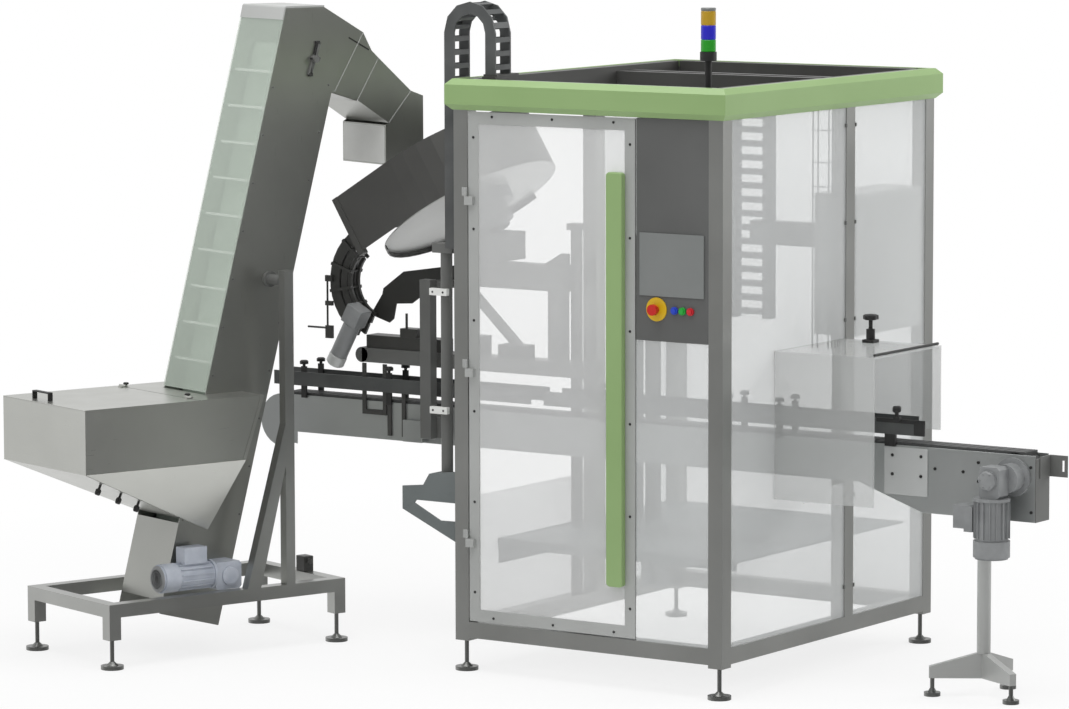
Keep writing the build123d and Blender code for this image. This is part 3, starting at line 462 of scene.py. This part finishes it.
piece("rail_tee_knob", [knob((987, near - 24, 999), (0, 0, 1), 16, 40),
                        block(975, 999, near - 30, near - 12, 985, 1000)], black_plastic)

# %% [markdown]
# ## Door handle and door screws
# The handle is a long green bar with rounded ends, and the clear sheet is held by socket screws with
# an even pitch. A rounded outline comes from arcs at its corners, so that the radius is one number.

# %% Handle, screws and small clamps
face = -750.5
hinge_x, hinge_y = -526.0, -759.0
hinge_heights = (500, 1134, 1770)
leaves = []
for z in hinge_heights:
    leaves.append(rod((hinge_x, hinge_y, z + 0.3), (hinge_x, hinge_y, z + 32), 6))
    leaves.append(block(hinge_x - 20, hinge_x, hinge_y + 4, -751, z + 0.3, z + 32))
piece("hinge_leaves", leaves, strip_paint, bevel=0.4, instead_of=("door_hinges",))
piece("hinge_pads", [block(-517, -494, -762.5, -758.5, z - 32, z - 0.3) for z in hinge_heights],
      strip_paint, body="door", bevel=0)
handle_outline = rounded(101, 170, 378, 1886, 14)
piece("handle_bar", [plate(handle_outline, "y", face - 26, face + 1.5)], green_paint,
      body="door", bevel=4.0, instead_of=("door_handle",))
screw_pitch = 337.4
door_screws = [(x, 300 + screw_pitch * i) for x in (-496, 190) for i in range(6)]
door_screws += [(x, z) for x in (-413, -148, 119) for z in (2064, 208)]
piece("door_screws", [screw((x, face, z), (0, -1, 0), 5, 3) for x, z in door_screws],
      black_plastic, body="door", bevel=0)
clips = [block(578, 587, y, y + 9, z - 7, z + 7) for z in (300, 640, 1300, 1660, 2020) for y in (97, 166)]
piece("panel_clips", clips, post_paint, instead_of=("panel_clamps",))
rails = [block(-524, 524, y, y + 44, 2112, 2198) for y in (-735, 691)]
rails += [block(x, x + 44, -691, 691, 2112, 2198) for x in (-568.5, 524.5)]
piece("top_rails", rails, dark_paint)

# %% [markdown]
# ## Sorting bowl
# The bowl is a round pan with a straight-walled collar on it and a geared hub under the pan.
# It is drawn flat in its own frame and the frame is tilted, so no angle appears in the outlines.

# %% Pan, collar and hub
R, left = 365.0, -289.0
arc = [(R * math.cos(math.radians(a)), R * math.sin(math.radians(a))) for a in range(-90, 91, 10)]
walls = []
outside = [(left, -R)] + arc + [(left, R)]
inside = [(left, -R + 3)] + [(x * (R - 3) / R, y * (R - 3) / R) for x, y in arc] + [(left, R - 3)]
for a, b, c, d in zip(outside, outside[1:], inside[1:], inside):
    walls.append(plate([a, b, c, d], "z", -15, 218))
walls.append(block(left, left + 3, -R + 3, R - 3, 60, 218))
walls.append(block(left - 26, left, -R - 4, -R + 26, -27, 218))
walls.append(block(left - 26, left, R - 26, R + 4, -27, 218))
piece("bowl_walls", walls, bowl_steel, BOWL, bevel=0, instead_of=("bowl_collar",))
rim = []
for a in range(80, 216, 9):
    corners = ((R, a), (R, a + 9), (R - 4, a + 9), (R - 4, a))
    q = [(r * math.cos(math.radians(t)), r * math.sin(math.radians(t))) for r, t in corners]
    rim.append(plate(q, "z", -39, -19))
piece("bowl_rim", rim, dark_paint, BOWL, bevel=0)
cone = [(-15, 250), (-4, 255), (-1, 240), (2, 90), (40, 30), (44, 20)]
piece("bowl_plate", [turned([(-19, R), (-15, R)], (0, 0, 0), (0, 0, 1), 72),
                     turned(cone, (0, 0, 0), (0, 0, 1), 48)],
      pan_steel, BOWL, instead_of=("bowl_pan",))
housing = [(-130, 85), (-66, 85), (-64, 120), (-21, 120), (-19, 112)]
piece("bowl_hub", [turned(housing, (60, 0, 0), (0, 0, 1), 40),
                   turned([(-150, 60), (-130, 60)], (60, 0, 0), (0, 0, 1), 32)],
      grey_lacquer, BOWL, instead_of=("bowl_motor",))

# %% [markdown]
# ## Curved chute and the track it feeds
# Lids slide down a quarter-ring channel made of three curved rails a side, with gaps that let the
# light through. Short straight segments make each rail; twelve of them read as one curve. Straps and
# cross pins tie the rails, and a small geared motor and a stand of rods sit in front.

# %% Curved chute
bend_x, bend_z, bend_in, bend_out = -1333.0, 1356.0, 131.0, 232.0
chute_near, chute_far = -198.0, -138.0


def ring_part(r0, r1, a0, a1, y0, y1, steps=12):
    """Part of a flat ring about the bend's middle, in straight steps."""
    out = []
    for i in range(steps):
        t0, t1 = (math.radians(a0 + (a1 - a0) * k / steps) for k in (i, i + 1))
        corners = ((r0, t0), (r1, t0), (r1, t1), (r0, t1))
        quad = [(bend_x + r * math.cos(t), bend_z + r * math.sin(t)) for r, t in corners]
        out.append(plate(quad, "y", y0, y1))
    return out


channel = []
for y in (chute_near, chute_far - 12):
    channel += ring_part(bend_out - 44, bend_out, 128, 244, y, y + 12)
    channel += ring_part(bend_in + 20, bend_in + 48, 134, 246, y, y + 12)
    channel += ring_part(bend_in, bend_in + 14, 140, 250, y, y + 12)
strap_angles = (136, 163, 190, 217, 240)
for a in strap_angles:
    t = math.radians(a)
    for y in (chute_near - 8, chute_far):
        if y < chute_near and a > 200:
            continue
        p = (bend_x + bend_in * math.cos(t), y + 4, bend_z + bend_in * math.sin(t))
        q = (bend_x + bend_out * math.cos(t), y + 4, bend_z + bend_out * math.sin(t))
        channel.append(bar(p, q, 12, 8))
for a in strap_angles:
    t = math.radians(a)
    into_hood = -124 if a == 240 else chute_far
    for r, end in ((bend_in + 7, into_hood), (bend_out - 10, chute_far)):
        x, z = bend_x + r * math.cos(t), bend_z + r * math.sin(t)
        channel.append(rod((x, chute_near - 2, z), (x, end, z), 4, 12))
piece("chute_channel", channel, dark_paint, bevel=0, instead_of=("curved_chute",))
drive_y = chute_near - 36
gear_top, gear_low, body_end, fan_end = (-1396, 1262), (-1432, 1196), (-1499, 1073), (-1521, 1033)


def at_drive(point):
    return (point[0], drive_y, point[1])


piece("chute_motor", [bar(at_drive(gear_top), at_drive(gear_low), 74, 72),
                      rod(at_drive(gear_low), at_drive(body_end), 34, 32)], grey_lacquer,
      bevel=3.0, instead_of=("track_drive",))
fan_way = Vector(at_drive(fan_end)) - Vector(at_drive(body_end))
cap = [(0, 33), (3, 36), (38, 36), (45, 28)]
piece("chute_motor_fan", [turned(cap, at_drive(body_end), fan_way, 32)], pale_plate)
hood = [(-1264, 1400), (-1085, 1427), (-1000, 1440), (-1000, 1383), (-1085, 1383), (-1180, 1308),
        (-1224, 1278), (-1299, 1273), (-1312, 1213), (-1332, 1197), (-1423, 1224), (-1366, 1307),
        (-1361, 1330)]
stay_y = chute_near - 6
stays = [plate(hood, "y", -128, -122)]
stay_blocks = ((1352, 1376), (1258, 1276), (1130, 1180))
stay_rods = ((1276, 1352), (1180, 1258))
stays += [block(-1582, -1548, stay_y - 6, stay_y + 6, z0, z1) for z0, z1 in stay_blocks]
stays += [rod((-1574, stay_y, z0), (-1574, stay_y, z1), 4) for z0, z1 in stay_rods]
stays.append(rod((-1669, stay_y, 1170), (-1582, stay_y, 1170), 4))
piece("chute_hood_and_stays", stays, dark_paint, instead_of=("chute_stays",))

# %% Track
track_near, track_far = -195.0, -105.0
piece("track_channel", [block(-1418, -360, track_near, track_far, 1046, 1102),
                        rod((-1418, track_near, 1074), (-1418, track_far, 1074), 30)], post_paint,
      instead_of=("track",))
on_track = [block(-1400, -1040, track_near + 8, track_far - 8, 1102, 1152),
            block(-1240, -1160, track_near + 8, track_far - 30, 1152, 1186),
            rod((-1216, track_near + 20, 1186), (-1216, track_near + 20, 1244), 5),
            block(-960, -860, track_near + 8, track_far - 8, 1102, 1176),
            block(-780, -660, track_near + 8, track_far - 8, 1102, 1152)]
piece("track_tooling", on_track, dark_paint, instead_of=("track_blocks",))

# %% [markdown]
# ## Posts, beam and side arm
# The bowl stands on a heavy beam between posts, and a round column on a welded arm carries the
# outboard end. The arm is three flat plates that meet in a C, open towards the cabinet.

# %% Bowl frame
beam_low, beam_high, post_x = 1352, 1452, -560
gusset_top = beam_high + 45
gusset = [(-667, beam_high), (-590, gusset_top), (post_x, gusset_top), (post_x, beam_high)]
bowl_posts = [block(-1078, -1028, -282, -240, 780, 1392), block(-1070, -1010, -240, near, 780, 860),
              block(-1070, -990, -240, -56, 1356, 1383), block(-1000, post_x, -60, 0, beam_low, beam_high),
              block(-1010, -990, -122, -56, 1383, 1440), block(-986, -854, -70, 110, beam_high, 1560),
              plate(gusset, "y", -40, -20), block(post_x, post_x + 33, -17, 17, 186, 1587),
              block(post_x - 14, post_x + 47, -24, 24, 1587, 1612),
              block(-606, -536, track_far, -60, 1066, 1440)]
bowl_posts.append(bar((-1008, -82.5, 1370), (-702, -82.5, 1089), 22, 45))
piece("bowl_posts", bowl_posts, post_paint, bevel=1.5, instead_of=("bowl_frame",))
piece("round_column", [rod((-690, -650, 718), (-690, -650, 1545), 22, 32),
                       block(-735, -645, -680, -620, 1545, 1580)], post_paint,
      instead_of=("shaft_column",))
clamp_heights = (943, 1386)
clamps = [block(-746, -667, -684, -666, z, z + 26) for z in clamp_heights]
piece("column_clamps", clamps, white_plastic)
clamp_heads = [screw((x, -684, z + 13), (0, -1, 0), 4, 2) for x in (-731, -684) for z in clamp_heights]
piece("clamp_screws", clamp_heads, black_plastic, bevel=0)
edge = -584.5
upper = [(-862, 664), (-767, 674), (-739, 718), (-666, 728), (edge, 736), (edge, 615), (-799, 615)]
outer = [(-862, 664), (-799, 615), (-808, 603), (-862, 577)]
lower = [(-862, 577), (-808, 603), (-689, 545), (edge, 547), (edge, 454)]
arm = [plate(outline, "y", -700, -692) for outline in (upper, outer, lower)]
arm.append(block(-740, edge, -692, -606, 712, 718))
piece("arm_plates", arm, arm_paint, instead_of=("side_arm",))

# %% [markdown]
# ## Inside the cabinet
# Through the clear walls one sees the cable carrier hanging from the top, a wire tray beside the
# electric box and two cylinders at the bed. They are simple shapes seen through a veil, so rhythm
# counts more than detail: the pitch of the links and the wires is what the eye picks up.

# %% Cable carrier and wire tray
links = []
link_count, link_pitch = 16, 52
for k in range(link_count):
    z = 1298 + link_pitch * k
    links += [block(x, x + 33, -22, 22, z, z + 50) for x in (149, 298)]
    links.append(block(182, 298, -22, 22, z + 15, z + 35))
    if k < link_count - 1:
        links += [block(x + 8, x + 25, -14, 14, z + 48, z + 54) for x in (149, 298)]
links.append(block(170, 310, -22, 254, 2122, 2130))
piece("hanging_links", links, link_plastic, instead_of=("inner_chain",))
tray_x = (500, 522, 568)
wires = [block(x, x + 4, 0, 4, 1200, 2120) for x in tray_x]
wires += [block(568, 572, y, y + 4, 1200, 2120) for y in (25, 49, 69)]
for z in (2005, 1886, 1797, 1760, 1604, 1555, 1507, 1414, 1317):
    wires += [block(500, 572, -4, 0, z, z + 4), block(564, 568, 0, 106, z, z + 4)]
piece("wire_tray", wires, post_paint, bevel=0, instead_of=("cable_basket",))
uprights = [block(-420, -370, 150, 200, 476, 1560), block(-330, -290, 150, 200, 476, 1420),
            block(-420, -290, 140, 150, 1340, 1420), block(106, 390, 200, 260, 1552, 1640)]
piece("inner_uprights", uprights, post_paint, instead_of=("head_uprights",))
bottle = [(0, 22), (4, 26), (100, 26), (112, 16), (126, 16), (128, 12)]
service = [turned(bottle, (x, -520, 352), (0, 0, 1)) for x in (118, 181)]
piece("service_cylinders", service, grey_lacquer)
piece("box_covers", [block(384, 390, 560, 640, 1480, 1700), block(384, 390, 560, 630, 1250, 1430)],
      pan_steel)

# %% [markdown]
# ## Signal lamp, guard knob, elevator trim
# Small hardware is what makes a machine look built: a lamp with seams between its lenses, a star knob
# on the guard, a toggle latch on the elevator's head, wing screws under the hopper.

# %% Signal lamp and guard knob
lamp_x, lamp_y, lamp_foot = 452.0, -640.0, 2322.0
lens = []
for low, high in ((0, 44), (44, 95), (95, 146), (146, 158)):
    lens.append((low + 0.6, 25.5))
    lens.append((low + 2.5, 27))
    lens.append((high - 2.5, 27))
    lens.append((high - 0.6, 25.5))
piece("lamp_lenses", [turned(lens, (lamp_x, lamp_y, lamp_foot), (0, 0, 1), 32)], lamp_colours,
      bevel=0, instead_of=("stack_light_lamps",))
guard_top = 1232.0
knob_at = (735, 30)
arms, around_steps = 5, 30
star = turned([(84, 20), (86, 27), (100, 27), (104, 18)], (*knob_at, guard_top), (0, 0, 1), around_steps)
for ring in star:
    for i, p in enumerate(ring):
        swell = 0.12 * math.cos(arms * 2 * math.pi * i / around_steps)
        p += Vector((p.x - knob_at[0], p.y - knob_at[1], 0)) * swell
nut = [(12, 17), (50, 17), (52, 8), (84, 8)]
piece("guard_star_knob", [block(712, 758, 7, 53, guard_top, guard_top + 12), star,
                          turned(nut, (*knob_at, guard_top), (0, 0, 1), 6),
                          rod((980, -361, guard_top + 5), (980, 98, guard_top + 5), 5)],
      black_plastic, instead_of=("guard_knob",))

# %% Elevator trim
cu = 145.0          # half the width of the casing


def casing_front(z):
    """Where the leaning front of the casing is at a height."""
    return -260 + 0.263 * z


latch = [bar((cu + 4, 486, 2176), (cu + 4, 518, 2292), 9, 8, (1, 0, 0)),
         block(cu, cu + 12, 488, 528, 2230, 2238),
         turned([(0, 8), (10, 8), (12, 5)], (cu, 508, 2235), (1, 0, 0), 20),
         block(cu, cu + 8, 478, 496, 2166, 2180), block(cu, cu + 8, 512, 530, 2288, 2300)]
piece("head_latch", latch, black_plastic, ELEVATOR)
# A thin black sheet on the casing paints the shade that falls in the gap between the hood and its flap.
slit = [(668, 2311), (762, 2261), (760, 2255), (666, 2305)]
piece("painted_gap_shade", [plate(slit, "x", cu, cu + 0.6)], black_plastic, ELEVATOR, bevel=0)
front = [(casing_front(z), z) for z in range(330, 2300, 180)]
casing_screws = [screw((cu, v + off, z), (1, 0, 0), 4, 2) for v, z in front for off in (16, 272)]
piece("casing_screws", casing_screws, post_paint, ELEVATOR, bevel=0)
piece("spout_seams", [bar((cu + 0.5, 735, 2326), (cu + 0.5, 600, 2104), 3, 1.4, (1, 0, 0)),
                      bar((cu + 0.5, 806, 2226), (cu + 0.5, 706, 2066), 3, 1.4, (1, 0, 0)),
                      bar((cu + 0.5, 958, 2093), (cu + 0.5, 853, 1973), 3, 1.4, (1, 0, 0))],
      pan_steel, ELEVATOR, bevel=0)
floor_fall = 0.4402         # how fast the hopper floor falls towards the casing
wing = [(190, -500), (172, -400), (154, -310)]
wing_screws = []
for u, v in wing:
    floor_z = 740.5 - floor_fall * (v + 627)
    wing_screws.append(knob((u, v, floor_z), (0, -floor_fall, -1), 11, 42))
piece("hopper_knobs", wing_screws, black_plastic, ELEVATOR)
piece("lid_knobs", [knob((u, -100, 981), (0, 0, 1), 11, 14) for u in (-262, 172)],
      black_plastic, ELEVATOR)
strap = [block(-150, -34, -586, -566, 1008, 1013), block(-150, -145, -586, -566, 981.5, 1008),
         block(-39, -34, -586, -566, 981.5, 1008)]
piece("lid_strap", strap, black_plastic, ELEVATOR, body="lid", instead_of=("lid_handle",))
flange = [plate([(79, 742), (164, 978), (150, 978), (65, 742)], "x", u, u + 2.5) for u in (293, -295.5)]
piece("hopper_rear_flange", flange, hopper_steel, ELEVATOR)
piece("foot_switch", [block(25, 80, 486, 530, 245, 305),
                      turned([(0, 12), (6, 12), (10, 9)], (80, 508, 285), (1, 0, 0), 20)],
      dark_paint, ELEVATOR, bevel=2.0, instead_of=("switch_box",))
fan_at = (cu + 60, -262, 306)
fan = [turned([(0, 50), (3, 50), (5, 44)], fan_at, (0, -1, 0), 32)]
for r in (38, 28, 18):
    fan.append(turned([(5, r), (6.5, r), (6.5, r - 2), (5, r - 2)], fan_at, (0, -1, 0), 32))
piece("motor_fan_grille", fan, grey_lacquer, ELEVATOR, bevel=0)
cover_v, cover_z = 38, 296
cover = [turned([(0, 36), (6, 36), (10, 30)], (cu + 96, cover_v, cover_z), (1, 0, 0), 32)]
for a in range(30, 390, 60):
    v = cover_v + 24 * math.cos(math.radians(a))
    z = cover_z + 24 * math.sin(math.radians(a))
    cover.append(screw((cu + 102, v, z), (1, 0, 0), 4, 3))
piece("gear_cover", cover, motor_lacquer, ELEVATOR)

# %% Flights, shafts and spout window
flight_pitch = 136.5
flights = []
for k in range(14):
    z = 400 + flight_pitch * k
    tip = casing_front(z) + 16
    flights.append(block(-124, 124, tip - 2, tip + 1, z + 9, z + 18))
piece("flight_tips", flights, white_plastic, ELEVATOR, bevel=0)
shaft = [(0, 26), (8, 26), (10, 18), (276, 18), (278, 26), (286, 26)]
shaft_lines = ((467, 2220), (-29, 340))
piece("belt_shafts", [turned(shaft, (-143, v, z), (1, 0, 0), 24) for v, z in shaft_lines],
      bare_steel, ELEVATOR, bevel=0)
window = rounded(-138, 138, 1816, 1960, 8)
piece("spout_window", [plate(window, "y", 836.6, 838)], white_plastic, ELEVATOR, bevel=0)

# %% Outgoing drive trim
gear_x, gear_y, gear_z = 1425, near - 100, 814
lobe_count, around_steps = 6, 36
lobes = turned([(0, 34), (6, 34), (9, 30)], (gear_x, gear_y - 40, gear_z), (0, -1, 0), around_steps)
for ring in lobes:
    for i, p in enumerate(ring):
        swell = 0.04 * math.cos(lobe_count * 2 * math.pi * i / around_steps)
        p += Vector((p.x - gear_x, 0, p.z - gear_z)) * swell
trim = [lobes]
for a in range(0, 360, 60):
    x = gear_x + 26 * math.cos(math.radians(a))
    z = gear_z + 26 * math.sin(math.radians(a))
    trim.append(screw((x, gear_y - 48, z), (0, -1, 0), 4, 3))
trim += [block(1284, 1352, gear_y - 34, gear_y + 34, 634, 718)]
piece("drive_trim", trim, grey_lacquer, bevel=1.0)

# %% [markdown]
# ## Floor, background and light
# The floor is a pale plane that keeps the shadow of the feet. The background is white for what the
# camera and a clear sheet see, and a mirror-like surface sees a studio that is bright on the left and
# dim on the right, which is what gives sheet steel its modelling. The light that falls on the machine
# stays at a plain level. Light Path tells these apart. Mirror-like surfaces don't see the floor, so
# that upright steel stays as dark as in the photograph.

# %% World
world = bpy.data.worlds.new("studio")
bpy.context.scene.world = world
world.use_nodes = True
tree = world.node_tree
link = tree.links.new
out = tree.nodes["World Output"]
soft = tree.nodes["Background"]
soft.inputs["Color"].default_value = (1.0, 1.0, 1.0, 1.0)
soft.inputs["Strength"].default_value = 0.66
white = tree.nodes.new("ShaderNodeBackground")
white.inputs["Color"].default_value = (1.0, 1.0, 1.0, 1.0)
white.inputs["Strength"].default_value = 1.0
look = tree.nodes.new("ShaderNodeTexCoord")
split = tree.nodes.new("ShaderNodeSeparateXYZ")
around = tree.nodes.new("ShaderNodeMath")
around.operation = "ARCTAN2"
turn_share = tree.nodes.new("ShaderNodeMapRange")
turn_share.inputs["From Min"].default_value = -math.pi
turn_share.inputs["From Max"].default_value = math.pi
walls_ramp = tree.nodes.new("ShaderNodeValToRGB")
studio = [(0.0, 1.0), (0.05, 0.9), (0.11, 0.5), (0.155, 0.26), (0.28, 0.2), (0.45, 0.12), (0.55, 0.12),
          (0.62, 0.3), (0.66, 0.38), (0.76, 0.66), (0.85, 0.85), (1.0, 1.0)]
steps = walls_ramp.color_ramp.elements
steps[0].position, steps[1].position = studio[0][0], studio[-1][0]
for spot, value in studio[1:-1]:
    steps.new(spot)
for step, (spot, value) in zip(steps, studio):
    step.position = spot
    step.color = (value, value, value, 1.0)
walls = tree.nodes.new("ShaderNodeBackground")
path = tree.nodes.new("ShaderNodeLightPath")
direct = tree.nodes.new("ShaderNodeMath")
direct.operation = "MAXIMUM"
below = tree.nodes.new("ShaderNodeMapRange")
below.inputs["From Min"].default_value = -0.25
below.inputs["From Max"].default_value = -0.5
floor_glow = tree.nodes.new("ShaderNodeMixRGB")
floor_glow.inputs["Color2"].default_value = (1.0, 1.0, 1.0, 1.0)
mirror_pick = tree.nodes.new("ShaderNodeMixShader")
pick = tree.nodes.new("ShaderNodeMixShader")
link(look.outputs["Generated"], split.inputs["Vector"])
link(split.outputs["Y"], around.inputs[0])
link(split.outputs["X"], around.inputs[1])
link(around.outputs[0], turn_share.inputs["Value"])
link(turn_share.outputs["Result"], walls_ramp.inputs["Fac"])
link(split.outputs["Z"], below.inputs["Value"])
link(below.outputs["Result"], floor_glow.inputs["Fac"])
link(walls_ramp.outputs["Color"], floor_glow.inputs["Color1"])
link(floor_glow.outputs["Color"], walls.inputs["Color"])
link(path.outputs["Is Glossy Ray"], mirror_pick.inputs["Fac"])
link(soft.outputs[0], mirror_pick.inputs[1])
link(walls.outputs[0], mirror_pick.inputs[2])
link(path.outputs["Is Camera Ray"], direct.inputs[0])
link(path.outputs["Is Transmission Ray"], direct.inputs[1])
link(direct.outputs[0], pick.inputs["Fac"])
link(mirror_pick.outputs[0], pick.inputs[1])
link(white.outputs[0], pick.inputs[2])
link(pick.outputs[0], out.inputs["Surface"])
print("studio walls in", len(studio), "steps")

# %% Floor
floor_mesh = bpy.data.meshes.new("floor")
reach = 30.0
low = -0.0005
corners = [(-reach, -reach, low), (reach, -reach, low), (reach, reach, low), (-reach, reach, low)]
floor_mesh.from_pydata(corners, [], [(0, 1, 2, 3)])
floor = bpy.data.objects.new("floor", floor_mesh)
bpy.context.scene.collection.objects.link(floor)
floor_mat = bpy.data.materials.new("pale_floor")
floor_mat.use_nodes = True
tree = floor_mat.node_tree
link = tree.links.new
bsdf = tree.nodes["Principled BSDF"]
bsdf.inputs["Base Color"].default_value = (0.9, 0.9, 0.9, 1.0)
bsdf.inputs["Roughness"].default_value = 0.9
bright = tree.nodes.new("ShaderNodeEmission")
bright.inputs["Strength"].default_value = 1.0
path = tree.nodes.new("ShaderNodeLightPath")
where = tree.nodes.new("ShaderNodeNewGeometry")
from_middle = tree.nodes.new("ShaderNodeVectorMath")
from_middle.operation = "LENGTH"
far_out = tree.nodes.new("ShaderNodeMapRange")
far_out.inputs["From Min"].default_value = 2.4
far_out.inputs["From Max"].default_value = 4.6
whiter = tree.nodes.new("ShaderNodeMapRange")
whiter.inputs["To Min"].default_value = 0.8
whiter.inputs["To Max"].default_value = 1.0
share = tree.nodes.new("ShaderNodeMath")
share.operation = "MULTIPLY"
clear = tree.nodes.new("ShaderNodeBsdfTransparent")
mix = tree.nodes.new("ShaderNodeMixShader")
fade = tree.nodes.new("ShaderNodeMixShader")
link(where.outputs["Position"], from_middle.inputs[0])
link(from_middle.outputs["Value"], far_out.inputs["Value"])
link(far_out.outputs["Result"], whiter.inputs["Value"])
link(whiter.outputs["Result"], share.inputs[1])
link(path.outputs["Is Camera Ray"], share.inputs[0])
link(share.outputs[0], mix.inputs["Fac"])
link(bsdf.outputs[0], mix.inputs[1])
link(bright.outputs[0], mix.inputs[2])
link(path.outputs["Is Glossy Ray"], fade.inputs["Fac"])
link(mix.outputs[0], fade.inputs[1])
link(clear.outputs[0], fade.inputs[2])
link(fade.outputs[0], tree.nodes["Material Output"].inputs["Surface"])
floor_mesh.materials.append(floor_mat)
print("floor ready")


# %% Lamps
def lamp(name, place, aim, size, power):
    data = bpy.data.lights.new(name, "AREA")
    data.shape = "SQUARE"
    data.size = size
    data.energy = power
    obj = bpy.data.objects.new(name, data)
    bpy.context.scene.collection.objects.link(obj)
    obj.location = place
    obj.rotation_euler = (Vector(aim) - Vector(place)).to_track_quat("-Z", "Y").to_euler()
    return obj


lamp("side_lamp", (6.5, 6.5, 4.5), (0.3, 0.2, 1.0), 4.0, 250.0)
lamp("top_lamp", (0.0, -1.5, 7.0), (0.0, 0.2, 0.8), 5.0, 260.0)
print("lamps ready")

# %% [markdown]
# ## Camera
# The photograph is taken from far away with a long lens, from the front right and a little above.
# The camera stands at the measured place; its lens follows from the measured focal length.

# %% Camera
cam_data = bpy.data.cameras.new("photo_camera")
cam_data.sensor_width = 36.0
focal_px, photo_wide = 5004.271, 1069
cam_data.lens = focal_px / photo_wide * 36.0
cam_data.clip_end = 200.0
cam = bpy.data.objects.new("photo_camera", cam_data)
bpy.context.scene.collection.objects.link(cam)
yaw, pitch, roll = -0.5986, 0.1146, 0.0024
cam_x, cam_y, cam_z = 10.0054, -15.7521, 3.2926
ahead = Vector((math.sin(yaw) * math.cos(pitch), math.cos(yaw) * math.cos(pitch), -math.sin(pitch)))
across = ahead.cross(Vector((0, 0, 1))).normalized()
upward = across.cross(ahead)
turn = Matrix.Rotation(roll, 3, ahead)
across, upward = turn @ across, turn @ upward
cam.matrix_world = Matrix((
    (across.x, upward.x, -ahead.x, cam_x + origin_x),
    (across.y, upward.y, -ahead.y, cam_y + origin_y),
    (across.z, upward.z, -ahead.z, cam_z),
    (0, 0, 0, 1)))
bpy.context.scene.camera = cam
bpy.context.scene.view_settings.view_transform = "Standard"
print("camera at", [round(v, 3) for v in cam.location])
